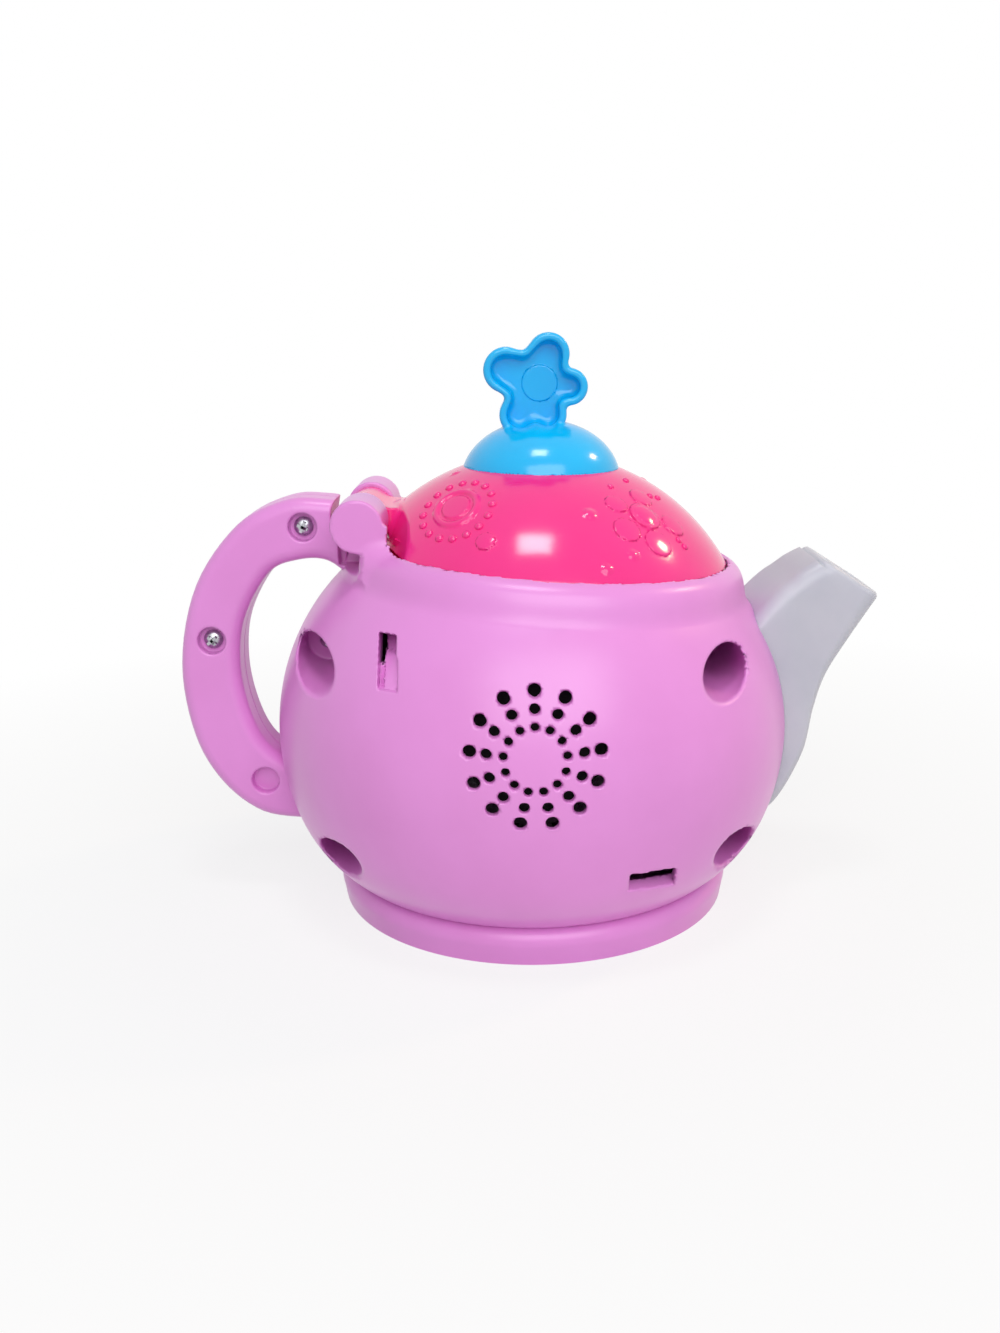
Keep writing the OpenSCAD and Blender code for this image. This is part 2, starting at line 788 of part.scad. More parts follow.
module handle_rear() {
    color(PINK) difference() {
        handle_half(-1);
        for (p = HANDLE_SCREWS) {
            along_y(p[0], p[1], -handle_t, -handle_t / 2 + handle_well_h, handle_well_d / 2);
            along_y(p[0], p[1], -handle_t, cut, hole_r);
        }
    }
}

module handle_front() {
    color(PINK) difference() {
        handle_half(1);
        for (p = HANDLE_SCREWS) along_y(p[0], p[1], -cut, handle_t / 2 - handle_wall, pilot_r);
    }
}

module handle_screws() {
    color(STEEL) for (p = HANDLE_SCREWS)
        rear_screw(p[0], -handle_t / 2 + handle_well_h, p[1], handle_screw_l);
}

// Base

module base_profile() {
    top = base_h - base_round;
    polygon([[foot_in, 0], [foot_d / 2, 0], [base_r, top], [foot_in, top]]);
    translate([foot_in, 0]) square([base_r - base_round - foot_in, base_h]);
    translate([base_r - base_round, top]) intersection() {
        circle(r = base_round);
        translate([-base_round, -cut]) square([2 * base_round, 2 * base_round]);
    }
    translate([0, panel_up]) square([foot_in + cut, panel_t]);
}

// Outline of the battery door, with its screw tab
module door_outline(gap) {
    l = box_l + 2 * door_lap - 2 * gap;
    w = box_w + 2 * door_lap - 2 * gap;
    translate([-l / 2, box_y - w / 2]) square([l, w]);
    translate([-l / 2 - door_tab_l + gap, -door_tab_w / 2 + gap])
        square([door_tab_l + cut, door_tab_w - 2 * gap]);
}

module board_post_places() {
    for (sx = [-1, 1], sy = [-1, 1]) translate([sx * board_post[0], box_y + sy * board_post[1], 0])
        children();
}

module stake_places() {
    for (sx = [-1, 1]) translate([sx * stake_x, switch_y, 0]) children();
}

module base() {
    color(PINK) difference() {
        union() {
            rotate_extrude() base_profile();
            base_screw_places() translate([0, 0, panel_up]) cylinder(h = base_h - panel_up, r = base_post_r);
            translate([-box_l / 2 - box_wall, box_y - box_w / 2 - box_wall, panel_up])
                cube([box_l + 2 * box_wall, box_w + 2 * box_wall, roof_top - panel_up]);
            translate([door_screw_x, 0, panel_up])
                cylinder(h = door_z + door_screw_l - panel_up, r = door_post_r);
            board_post_places() translate([0, 0, roof_top - cut])
                cylinder(h = board_up + cut, r = board_post_r);
            stake_places() translate([0, 0, panel_z - cut]) cylinder(h = switch_h + cut, r = stake_r);
        }
        translate([0, 0, -cut]) linear_extrude(door_z + cut) door_outline(0);
        translate([-box_l / 2, box_y - box_w / 2, panel_up]) cube([box_l, box_w, roof_z - panel_up]);
        base_screw_places() {
            translate([0, 0, -cut]) cylinder(h = base_head_z + cut, r = head_r + head_gap);
            cylinder(h = base_h + cut, r = hole_r);
        }
        translate([door_screw_x, 0, 0]) cylinder(h = door_z + door_screw_l - 1, r = pilot_r);
        board_post_places() translate([0, 0, roof_z + box_wall / 2]) cylinder(h = board_z, r = pilot_r);
        translate([-stem / 2 - switch_travel - slide_gap, switch_y - stem / 2 - slide_gap, 0])
            cube([stem + 2 * (switch_travel + slide_gap), stem + 2 * slide_gap, panel_z + cut]);
    }
}

module battery_door() {
    color(PINK) difference() {
        translate([0, 0, panel_up]) linear_extrude(door_t) door_outline(seat_gap);
        translate([door_screw_x, 0, panel_up - cut]) cylinder(h = door_t + 2 * cut, r = hole_r);
        translate([door_screw_x, 0, panel_up]) cylinder(h = door_t - seat_gap, r1 = head_r, r2 = hole_r);
    }
}

module door_screw() {
    cone_h = door_t - 2 * seat_gap;
    color(STEEL) translate([door_screw_x, 0, panel_up]) difference() {
        union() {
            cylinder(h = cone_h, r1 = head_r - fit_gap, r2 = screw_r);
            cylinder(h = door_t + door_screw_l - 2 * cut, r = screw_r);
        }
        for (turn = [0, 90]) rotate(turn) translate([-head_r / 2, -recess_w / 2, -cut])
            cube([head_r, recess_w, cut + recess_h]);
    }
}

module base_screws() {
    color(STEEL) base_screw_places() translate([0, 0, base_head_z]) rotate([180, 0, 0])
        screw(base_h + lug_h - base_head_z - 1);
}

// Two cells side by side, turned opposite ways
module cell_places() {
    for (side = [-1, 1]) translate([0, box_y + side * cell_y, cell_z]) rotate(side < 0 ? 0 : 180) children();
}

module battery_cells() {
    tip = box_l / 2 - contact_t;
    color(DARK) cell_places() translate([tip - cell_l, 0, 0]) rotate([0, 90, 0]) {
        cylinder(h = cell_l - button_h, r = cell_d / 2);
        cylinder(h = cell_l, r = button_d / 2);
    }
}

module battery_springs() {
    turns = 4;
    wire = 0.8;
    ring = 8;
    start = -box_l / 2 + contact_t + wire / 2;
    rise = spring_l - wire;
    route = [for (i = [0:turns * ring]) let (u = i / (turns * ring), r = 4.6 - 2 * u)
        [start + rise * u, r * cos(360 * i / ring), r * sin(360 * i / ring)]];
    color(STEEL) cell_places() tube(route, wire, 1, 6);
}

module battery_contacts() {
    plate = [contact_t, cell_d - 3, cell_d - 4];
    color(STEEL) {
        cell_places() translate([-box_l / 2, -plate[1] / 2, -plate[2] / 2]) cube(plate);
        cell_places() translate([box_l / 2 - contact_t, -plate[1] / 2, -plate[2] / 2]) cube(plate);
    }
}

// Power switch

module switch_slider() {
    color(DARK) {
        translate([-slider_l / 2, switch_y - slider_w / 2, panel_z + slide_gap])
            cube([slider_l, slider_w, slider_h]);
        translate([-stem / 2, switch_y - stem / 2, panel_up - stem_out])
            cube([stem, stem, stem_out + panel_t + slide_gap + cut]);
    }
}

module switch_case() {
    foot_h = 1.6;
    foot_half = 2.5;
    color(DARK) difference() {
        union() {
            translate([-switch_l / 2, switch_y - switch_w / 2, panel_z]) cube([switch_l, switch_w, switch_h]);
            translate([-stake_x - 2 * stake_r, switch_y - foot_half, panel_z])
                cube([2 * stake_x + 4 * stake_r, 2 * foot_half, foot_h]);
        }
        translate([-switch_l / 2 + case_wall, switch_y - switch_w / 2 + case_wall, panel_z - cut])
            cube([switch_l - 2 * case_wall, switch_w - 2 * case_wall, slider_h + 2 * slide_gap + cut]);
        stake_places() translate([0, 0, panel_z - cut])
            cylinder(h = switch_h + 2 * cut, r = stake_r + fit_gap);
    }
}

// Spout

// Rounded ring of a spout station, set inwards and moved along the spout
function spout_ring(s, inset, back = 0) =
    let (
        top = [s[0], s[1]],
        low = [s[2], s[3]],
        height = norm(top - low),
        dir = (top - low) / height,
        away = [dir[1], -dir[0]],
        half = s[4] - inset,
        r = max(spout_edge - inset, 1),
        section = concat(
            corner(height - inset - r, half - r, r, 0, 90, 4),
            corner(inset + r, half - r, r, 90, 180, 4),
            corner(inset + r, r - half, r, 180, 270, 4),
            corner(height - inset - r, r - half, r, 270, 360, 4)
        )
    )
    [for (p = section) [
        low[0] + dir[0] * p[0] - away[0] * back, p[1], low[1] + dir[1] * p[0] - away[1] * back]];

module spout_skin() {
    steps = 3;
    count = (len(SPOUT) - 1) * steps;
    mouth = SPOUT[len(SPOUT) - 1];
    loft(concat(
        [for (i = [0:count]) spout_ring(spline(SPOUT, i / steps), 0)],
        [spout_ring(mouth, spout_wall), spout_ring(mouth, spout_wall + 0.4, spout_dish)]
    ));
}

module spout_hollow() {
    loft([for (t = [2:0.5:4.5]) spout_ring(spline(SPOUT, t), spout_wall)]);
}

// Places of the two screws that hold the lamp board to the collar, with Z along +X
module led_screw_places() {
    for (side = [-1, 1]) translate([collar_end, 0, collar_z + side * led_screw_z]) rotate([0, 90, 0])
        children();
}

module spout() {
    root = belly_r(collar_z, wall);
    color(MILK) difference() {
        union() {
            difference() {
                spout_skin();
                belly(-seat_gap);
                mouth_frame() rotate_extrude() translate([rim_c, -rim_drop]) circle(r = rim_r + seat_gap);
                mouth_frame() translate([0, 0, -rim_drop - cut]) cylinder(r = mouth_r, h = far);
            }
            translate([collar_end, -collar_w / 2, collar_z - collar_h / 2])
                cube([root + wall + collar_lap - collar_end, collar_w, collar_h]);
            difference() {
                intersection() {
                    translate([0, -collar_w / 2 - flange_lap, collar_z - collar_h / 2 - flange_lap])
                        cube([far, collar_w + 2 * flange_lap, collar_h + 2 * flange_lap]);
                    belly(wall + seat_gap);
                }
                belly(wall + seat_gap + flange_t);
            }
        }
        spout_hollow();
        translate([0, -passage_w / 2, collar_z - passage_h / 2])
            cube([root + passage_out, passage_w, passage_h]);
        led_screw_places() cylinder(h = small_screw_l, r = pilot_r);
    }
}

module led_board() {
    color(BOARD_GREEN) difference() {
        translate([collar_end - board_t, -collar_w / 2, collar_z - collar_h / 2])
            cube([board_t, collar_w, collar_h]);
        led_screw_places() translate([0, 0, -far]) cylinder(h = 2 * far, r = hole_r);
    }
}

module spout_lamps() {
    color("white") for (side = [-1, 1]) translate([collar_end, side * lamp_y, collar_z]) rotate([0, 90, 0]) {
        cylinder(h = cut, r = lamp_d / 2 + lamp_flange);
        cylinder(h = lamp_l, r = lamp_d / 2);
        translate([0, 0, lamp_l]) sphere(r = lamp_d / 2);
    }
}

module led_screws() {
    color(STEEL) led_screw_places() translate([0, 0, -board_t]) rotate([180, 0, 0])
        screw(small_screw_l, small_head_r);
}

// Lid

module lid_dome(r, edge_r) {
    mouth_frame() intersection() {
        translate([0, 0, lid_cz]) sphere(r = r, $fn = 180);
        translate([0, 0, -lid_seat]) cylinder(r = edge_r, h = far);
    }
}

module liner_post_places() {
    mouth_frame() for (turn = [0, 120, 240]) rotate(turn) translate([liner_post_ring, 0, liner_z + liner_t])
        children();
}

module knob_screw_places() {
    for (side = [-1, 1]) translate([knob_x, side * knob_screw_y, knob_pad_z]) children();
}

// Hollow dome, closed towards the hinge by a wall that follows the ears
module lid_shell() {
    difference() {
        lid_dome(lid_arc, lid_r);
        about_hinge(trim_r, far);
        difference() {
            mouth_frame() intersection() {
                translate([0, 0, lid_cz]) sphere(r = lid_arc - lid_wall, $fn = 180);
                translate([0, 0, -lid_seat - cut]) cylinder(r = lid_r - lid_wall, h = far);
            }
            about_hinge(trim_r + lid_wall, far);
        }
    }
}

module lid() {
    color(HOT_PINK) difference() {
        union() {
            lid_shell();
            about_hinge(ear_r, knuckle_w / 2);
            translate([hinge_x, -knuckle_w / 2, hinge_z - web_h / 2]) cube([web_l, knuckle_w, web_h]);
            intersection() {
                lid_dome(lid_arc - lid_wall / 2, lid_r);
                union() {
                    liner_post_places() cylinder(h = far, r = liner_post_d / 2);
                    knob_screw_places() cylinder(h = far, r = knob_pad_d / 2);
                }
            }
        }
        about_hinge(pin_d / 2 + fit_gap, far);
        liner_post_places() translate([0, 0, -cut]) cylinder(h = small_screw_l + cut, r = pilot_r);
        knob_screw_places() translate([0, 0, -cut]) cylinder(h = far, r = hole_r);
    }
}

module lid_liner() {
    color(HOT_PINK) difference() {
        mouth_frame() translate([0, 0, liner_z]) cylinder(r = liner_r, h = liner_t);
        about_hinge(trim_r + lid_wall + 2 * seat_gap, far);
        liner_post_places() translate([0, 0, -far]) cylinder(h = 2 * far, r = hole_r);
    }
}

module liner_screws() {
    color(STEEL) liner_post_places() translate([0, 0, -liner_t]) rotate([180, 0, 0]) screw(small_screw_l);
}

// Petals round a centre, set inwards
module flower_outline(inset) {
    circle(r = petal_ring - inset / 2);
    for (i = [0:petals - 1]) rotate(90 - flower_turn + 360 * i / petals)
        translate([petal_ring, 0]) circle(r = petal_r - inset);
}

// Upright flower with an open tray in its rear face, on a short neck
module flower() {
    neck = petal_r;
    translate([flower_x, 0, flower_z]) rotate([90, 0, 0]) translate([0, 0, -flower_t / 2]) difference() {
        linear_extrude(flower_t) {
            flower_outline(0);
            translate([-neck, -flower_up - knob_rise / 2]) square([2 * neck, flower_up]);
        }
        translate([0, 0, flower_floor]) linear_extrude(flower_t) flower_outline(flower_wall);
    }
}

module flower_knob() {
    color(SKY_BLUE) difference() {
        union() {
            translate([knob_x, 0, knob_cz]) difference() {
                sphere(r = knob_arc, $fn = 180);
                sphere(r = knob_arc - knob_wall, $fn = 180);
            }
            intersection() {
                translate([knob_x, 0, knob_cz]) sphere(r = knob_arc - knob_wall / 2, $fn = 180);
                knob_screw_places() cylinder(h = far, r = knob_pad_d / 2);
            }
            flower();
        }
        mouth_frame() translate([0, 0, lid_cz]) sphere(r = lid_arc + fit_gap, $fn = 180);
        mouth_frame() translate([-far, -far, lid_cz - 2 * far]) cube([2 * far, 2 * far, 2 * far]);
        knob_screw_places() cylinder(h = small_screw_l + 1.5, r = pilot_r);
    }
}

module knob_screws() {
    color(STEEL) knob_screw_places() rotate([180, 0, 0]) screw(small_screw_l + 1);
}

module hinge_pin() {
    color(STEEL) about_hinge(pin_d / 2, pin_half);
}

// Shallow bowl on the ledge under the lid
module tea_tray() {
    t = 1.6;
    slope = 9;
    depth = 14;
    flange_r = mouth_r - 2 * seat_gap;
    top_r = mouth_r - ledge_in - 2 * seat_gap;
    low_r = top_r - slope;
    color(HOT_PINK) difference() {
        mouth_frame() translate([0, 0, -ledge_drop]) rotate_extrude() polygon([
            [0, -depth], [low_r, -depth], [top_r, 0], [flange_r, 0], [flange_r, tray_flange],
            [top_r - t, tray_flange], [low_r - t, t - depth], [0, t - depth]
        ]);
        tray_screw_places() translate([0, 0, -cut]) cylinder(h = tray_flange + 2 * cut, r = hole_r);
    }
}

module tray_screws() {
    flat_head = 0.8;
    color(STEEL) tray_screw_places() translate([0, 0, tray_flange])
        screw(small_screw_l, small_head_r, flat_head);
}

// Speaker

module speaker_frame() {
    overlap = 0.5;
    color(STEEL) difference() {
        union() {
            along_y(0, grille_z, -speaker_front, -speaker_back, speaker_r);
            along_y(0, grille_z, -speaker_back - overlap, -speaker_back + basket_h,
                speaker_r - 2 * basket_t, magnet_r);
        }
        along_y(0, grille_z, -speaker_front - overlap, -speaker_back, cone_r);
        along_y(0, grille_z, -speaker_back - cut / 10, -speaker_back + basket_h - basket_t,
            cone_r - basket_t, magnet_r - basket_t);
    }
}

module speaker_cone() {
    base_y = -speaker_back - speaker_flange / 2;
    cap_r = 7;
    cone_h = 5;
    cone_t = 0.6;
    color(DARK) difference() {
        along_y(0, grille_z, base_y, base_y + cone_h, cone_r, cap_r);
        along_y(0, grille_z, base_y - cut / 10, base_y + cone_h - cone_t, cone_r - cone_t, cap_r - cone_t);
    }
}

module speaker_magnet() {
    color(DARK) along_y(0, grille_z, -speaker_back + basket_h, -speaker_back + basket_h + magnet_h, magnet_r);
}

module speaker_screws() {
    color(STEEL) speaker_screw_places(-speaker_back) screw(small_screw_l - cut / 2, speaker_head_r);
}

// Boards

module main_board() {
    color(BOARD_GREEN) difference() {
        translate([-board_l / 2, box_y - board_w / 2, board_z]) cube([board_l, board_w, board_t]);
        board_post_places() cylinder(h = far, r = hole_r);
    }
}

module board_parts() {
    color(DARK) translate([0, box_y, board_top]) {
        translate([-board_l / 7, 0, 0]) intersection() {
            cylinder(h = 1.8, r = 5);
            translate([0, 0, -7]) sphere(r = 8.8);
        }
        translate([board_l / 5.6, board_w / 5, 0]) cylinder(h = 8, r = 3);
        translate([board_l / 3.1, board_w / 6, 0]) cylinder(h = 6, r = 2.5);
        translate([-board_l / 2.55, 2, 0]) cube([5, 8, 5]);
    }
}

module board_screws() {
    color(STEEL) board_post_places() translate([0, 0, board_top]) screw(board_up + board_t, small_head_r);
}

// Frame of the tilt switch: its middle, with Z along the tube and up towards the spout
module tilt_frame() {
    translate(tilt_at) rotate([0, 90 - tilt_slope, 0]) children();
}

module tilt_case() {
    foot = 4;
    leg = 2;
    leg_x = 3;
    color(DARK) difference() {
        union() {
            tilt_frame() translate([0, 0, -tube_l / 2 - tube_wall])
                cylinder(h = tube_l + tube_wall, r = tube_r + tube_wall);
            for (side = [-1, 1])
                translate([tilt_at[0] + side * leg_x - leg / 2, tilt_at[1] - foot / 2, board_top])
                cube([leg, foot, tilt_at[2] - board_top]);
        }
        tilt_frame() translate([0, 0, -tube_l / 2]) cylinder(h = tube_l + cut, r = tube_r);
    }
}

module tilt_cap() {
    color(STEEL) tilt_frame() translate([0, 0, tube_l / 2]) {
        cylinder(h = 1, r = tube_r + tube_wall);
        translate([0, 0, -1]) cylinder(h = 1 + cut / 2, r = tube_r - fit_gap);
    }
}

module tilt_ball() {
    color(STEEL) tilt_frame() translate([0, 0, -tube_l / 2 + ball_r + 2 * fit_gap]) sphere(r = ball_r);
}

module speaker_lead() {
    color("red") tube(SPEAKER_ROUTE, lead_d, 4, 8);
}

module led_lead() {
    color("gold") tube(LED_ROUTE, lead_d, 4, 8);
}

module switch_lead() {
    color("black") tube(SWITCH_ROUTE, lead_d, 4, 8);
}

rear_shell();
front_shell();
handle_rear();
handle_front();
base();
battery_door();
door_screw();
battery_cells();
battery_springs();
battery_contacts();
switch_slider();
switch_case();
spout();
led_board();
spout_lamps();
led_screws();
lid();
lid_liner();
liner_screws();
flower_knob();
knob_screws();
hinge_pin();
tea_tray();
tray_screws();
body_screws();
handle_screws();
base_screws();
speaker_frame();
speaker_cone();
speaker_magnet();
speaker_screws();
main_board();
board_parts();
board_screws();
tilt_case();
tilt_cap();
tilt_ball();
speaker_lead();
led_lead();
switch_lead();
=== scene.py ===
import math

import bpy
import numpy as np
from mathutils import Matrix, Vector


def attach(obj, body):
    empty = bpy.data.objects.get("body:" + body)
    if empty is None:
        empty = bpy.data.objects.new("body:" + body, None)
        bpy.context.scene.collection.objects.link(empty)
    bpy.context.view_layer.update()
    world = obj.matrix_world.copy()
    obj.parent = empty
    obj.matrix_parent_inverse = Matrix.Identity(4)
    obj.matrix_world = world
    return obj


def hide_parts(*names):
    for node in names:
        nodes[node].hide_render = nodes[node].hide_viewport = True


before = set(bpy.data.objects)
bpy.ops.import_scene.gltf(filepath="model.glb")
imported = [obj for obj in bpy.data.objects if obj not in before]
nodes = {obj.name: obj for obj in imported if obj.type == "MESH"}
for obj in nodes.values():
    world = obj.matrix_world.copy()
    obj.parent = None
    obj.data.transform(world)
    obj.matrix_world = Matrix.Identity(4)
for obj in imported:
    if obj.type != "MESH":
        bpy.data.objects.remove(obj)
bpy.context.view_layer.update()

# View: the photographer stands behind the pot, about a third of a metre off and a little
# above it, so the lid's top shows and the foot is seen from above.
PHOTO_HEIGHT = 1333
FOCAL_PIXELS = 1254
right, up = Vector((0.9998, 0.0062, -0.0177)), Vector((0.0154, 0.2625, 0.9648))
eye = Vector((-0.0046, -0.3286, 0.1507))
camera = bpy.data.objects.new("camera", bpy.data.cameras.new("camera"))
bpy.context.scene.collection.objects.link(camera)
camera.data.sensor_width = 36
camera.data.lens = FOCAL_PIXELS * camera.data.sensor_width / PHOTO_HEIGHT
camera.data.clip_start = 0.01
back = right.cross(up).normalized()
across = up.cross(back).normalized()
aim = Matrix((across, back.cross(across), back)).transposed().to_4x4()
camera.matrix_world = Matrix.Translation(eye) @ aim
bpy.context.scene.camera = camera

# Shells: the pot is two moulded halves in pale pink ABS, joined on the plane through the
# spout and the handle. The rear half has the grille, four screw wells and two open slots;
# a rolled rim runs round the mouth, and each half carries one ear of the hinge.
MM = 0.001
BELLY_Z, SIDE_ARC, SIDE_OFF, FOOT_ARC, FOOT_ARC_Z = 46.7, 58.0, 10.0, 36.0, 25.0
WALL, BASE_H = 2.2, 9.4
MOUTH_X, MOUTH_Z, MOUTH_R = 4.6, 94.603, 47.5
TILT = math.radians(4.7)
RIM_C, RIM_R, RIM_DROP = 46.4, 5.7, 5.9
LEDGE_TOP, LEDGE_LOW, LEDGE_R = -3.0, -5.0, 41.5
HINGE_X, HINGE_Z, EAR_R, EAR_IN, EAR_OUT = -42.3, 104.003, 6.55, 10.5, 26.4
WELLS = ((-53.5, 71.0), (45.5, 70.5), (49.7, 24.0), (-48.5, 23.0))
WELL_R, WELL_WALL, WELL_FLOOR = 6.0, 1.8, 4.0
UPRIGHT_SLOT = (((-35.9, 70.3), (-31.2, 77.2)), ((-35.9, 76.8), (-31.6, 81.7)))
LEVEL_SLOT = (((21.7, 21.5), (26.6, 26.65)), ((26.2, 21.4), (33.0, 27.05)))
LEVEL_X, LEVEL_LEAN, LEVEL_LOW, LEVEL_SLOPE, LEVEL_DEEP = 27.4, 0.13, 21.5, 0.4, 12
SLOT_CORNER, COLLAR_WALL, UPRIGHT_COLLAR, LEVEL_COLLAR = 0.3, 1.8, 7.8, 3.7
NOTCH, NOTCH_OUT, NOTCH_WEB = ((-56, 91.4), (-41.2, 97.4)), 28.2, 4.4
STAND_X, STAND_WALL, STAND_SUNK, THROAT = (-41.2, -32.5), 4.6, 2, 14
LID_GAP, HINGE_GAP, SEAM, SEAM_EDGE = 0.05, 0.4, 0.03, 0.3
GRILLE_Z, GRILLE_DEEP, SPOKES = 57.6, 40, 13
GRILLE_RINGS = ((7.2, 1.0), (11.0, 1.25), (14.8, 1.5))


def join(a, b, r):
    """Two solids grown together, with a hollow fillet of radius r."""
    return np.maximum(r, np.minimum(a, b)) - np.hypot(np.maximum(r - a, 0), np.maximum(r - b, 0))


def meet(a, b, r):
    """What two solids share, with its edge rounded to radius r."""
    return np.minimum(-r, np.maximum(a, b)) + np.hypot(np.maximum(r + a, 0), np.maximum(r + b, 0))


def rod(a, b, at, r):
    """Distance from an endless round rod, seen end on."""
    return np.hypot(a - at[0], b - at[1]) - r


def pane(a, b, low, high, r):
    """Distance from a rounded rectangle between two corners."""
    qa = np.abs(a - (low[0] + high[0]) / 2) - (high[0] - low[0]) / 2 + r
    qb = np.abs(b - (low[1] + high[1]) / 2) - (high[1] - low[1]) / 2 + r
    return np.hypot(np.maximum(qa, 0), np.maximum(qb, 0)) + np.minimum(np.maximum(qa, qb), 0) - r


def in_mouth(x, z):
    """Place across and along the mouth's tilted axis."""
    return (math.cos(TILT) * (x - MOUTH_X) - math.sin(TILT) * (z - MOUTH_Z),
            math.sin(TILT) * (x - MOUTH_X) + math.cos(TILT) * (z - MOUTH_Z))


def belly(x, y, z):
    """Distance from the belly: a side arc that runs on into a tighter foot arc."""
    turn = math.asin((FOOT_ARC_Z - BELLY_Z) / SIDE_ARC)
    foot_r = SIDE_OFF + (SIDE_ARC - FOOT_ARC) * math.cos(turn)
    foot_z = BELLY_Z + (SIDE_ARC - FOOT_ARC) * math.sin(turn)
    r = np.hypot(x, y)
    side = np.hypot(np.maximum(r - SIDE_OFF, 0), z - BELLY_Z) - SIDE_ARC
    foot = np.hypot(np.maximum(r - foot_r, 0), z - foot_z) - FOOT_ARC
    low = math.cos(turn) * (z - BELLY_Z) < math.sin(turn) * (r - SIDE_OFF)
    return np.where(low, foot, side)


def grille_holes(x, z):
    """Distance from the nearest hole of the grille, in plan."""
    turn = 2 * math.pi / SPOKES
    angle = np.arctan2(x, z - GRILLE_Z)
    angle = angle - turn * np.round(angle / turn)
    r = np.hypot(x, z - GRILLE_Z)
    return np.minimum.reduce([rod(r * np.cos(angle), r * np.sin(angle), (ring, 0), hole)
                              for ring, hole in GRILLE_RINGS])


def upright_depth(x, z):
    """Depth of the upright slot's floor: a ramp below a deeper floor and, beside them, a strip that is
    open right through above a step."""
    foot, ramp_top, start, steep, sill = 70.3, 77.0, 1.2, 0.45, 6.2
    split, step_top, step, through = -34.5, 74.4, 3.4, 30
    floor = np.where(z < ramp_top, start + steep * (z - foot), sill)
    return np.where(x > split, floor, np.where(z < step_top, step, through))


def shell_field(side):
    """Distance field of one shell: side is -1 for the rear and 1 for the front."""
    crease, lap, lip, ear_edge, ear_foot, stand_foot = 3.0, 1, 0.3, 0.6, 4.2, 1.2
    notch_corner, notch_edge, well_edge, well_floor_edge = 0.8, 0.5, 0.9, 0.5
    slot_edge, hole_edge, foot_edge = 0.45, 0.35, 0.3

    def field(x, y, z):
        u, w = in_mouth(x, z)
        q = np.hypot(u, y)
        skin = belly(x, y, z)
        rim = rod(q, w, (RIM_C, -RIM_DROP), RIM_R)
        solid = join(skin, rim, crease)
        hollow = np.minimum(np.maximum(skin + WALL, w + RIM_DROP),
                            np.maximum(q - MOUTH_R, -w - RIM_DROP - lap))
        hollow = np.maximum(hollow, w - LEDGE_LOW)
        if side < 0:
            upright = np.minimum.reduce([pane(x, z, *corners, SLOT_CORNER) for corners in UPRIGHT_SLOT])
            lean = z + LEVEL_LEAN * (x - LEVEL_X)
            level = np.minimum.reduce([pane(x, lean, *corners, SLOT_CORNER) for corners in LEVEL_SLOT])
            collars = np.minimum(np.maximum(upright - COLLAR_WALL, -skin - UPRIGHT_COLLAR),
                                 np.maximum(level - COLLAR_WALL, -skin - LEVEL_COLLAR))
            posts = np.minimum.reduce([rod(x, z, at, WELL_R + WELL_WALL) for at in WELLS])
            hollow = np.maximum(hollow, -np.minimum(posts, collars))
        solid = np.maximum(solid, -hollow)
        bore = np.maximum(q - MOUTH_R, LEDGE_TOP - w)
        solid = meet(solid, -bore, lip)
        solid = np.maximum(solid, -np.maximum(q - LEDGE_R, -w - THROAT))
        out = side * y
        notch = np.maximum(pane(x, z, *NOTCH, notch_corner),
                           np.maximum(out - NOTCH_OUT, NOTCH_WEB - out))
        solid = meet(solid, -notch, notch_edge)
        slab = np.maximum(out - EAR_OUT, EAR_IN - out)
        hinge = rod(x, z, (HINGE_X, HINGE_Z), 0)
        ear = meet(hinge - EAR_R, slab, ear_edge)
        stand = np.maximum.reduce([q - MOUTH_R - STAND_WALL, MOUTH_R - q, STAND_X[0] - x, x - STAND_X[1],
                                   MOUTH_Z - STAND_SUNK - z, z - HINGE_Z, slab])
        ear = np.maximum(join(ear, stand, stand_foot), slab)
        solid = join(solid, ear, ear_foot)
        lid_room = np.maximum.reduce([q - MOUTH_R + LID_GAP, LEDGE_TOP - w, EAR_R + LID_GAP - hinge])
        solid = np.maximum(solid, -lid_room)
        solid = np.maximum(solid, -np.maximum(hinge - EAR_R - HINGE_GAP, np.abs(y) - EAR_IN))
        if side < 0:
            for at in WELLS:
                well = meet(rod(x, z, at, WELL_R), y + WELL_FLOOR, well_floor_edge)
                solid = meet(solid, -well, well_edge)
            solid = meet(solid, -np.maximum(upright, -skin - upright_depth(x, z)), slot_edge)
            level = np.maximum.reduce([level, y + LEVEL_DEEP, LEVEL_LOW - lean - LEVEL_SLOPE * skin])
            solid = meet(solid, -level, slot_edge)
            solid = meet(solid, -np.maximum(grille_holes(x, z), y + GRILLE_DEEP), hole_edge)
        solid = meet(solid, BASE_H - z, foot_edge)
        return meet(solid, SEAM - out, SEAM_EDGE)

    return field


def stations(low, high, step, close=()):
    """Grid stations from low to high; close lists stretches (from, to, step) with a finer step."""
    line = [low]
    while line[-1] < high:
        line.append(line[-1] + min([step] + [s for a, b, s in close if a <= line[-1] < b]))
    return np.array(line)


def in_parts(field, points, size=400000):
    """The field at many points, a part at a time."""
    parts = [field(*points[i:i + size].T) for i in range(0, len(points), size)]
    return np.concatenate(parts or [np.zeros(0)])


def slope(field, points, reach=0.04):
    """The field's value and gradient at each point."""
    grad = np.empty_like(points)
    for axis in range(3):
        step = np.zeros(3)
        step[axis] = reach
        grad[:, axis] = (in_parts(field, points + step) - in_parts(field, points - step)) / (2 * reach)
    return in_parts(field, points), grad


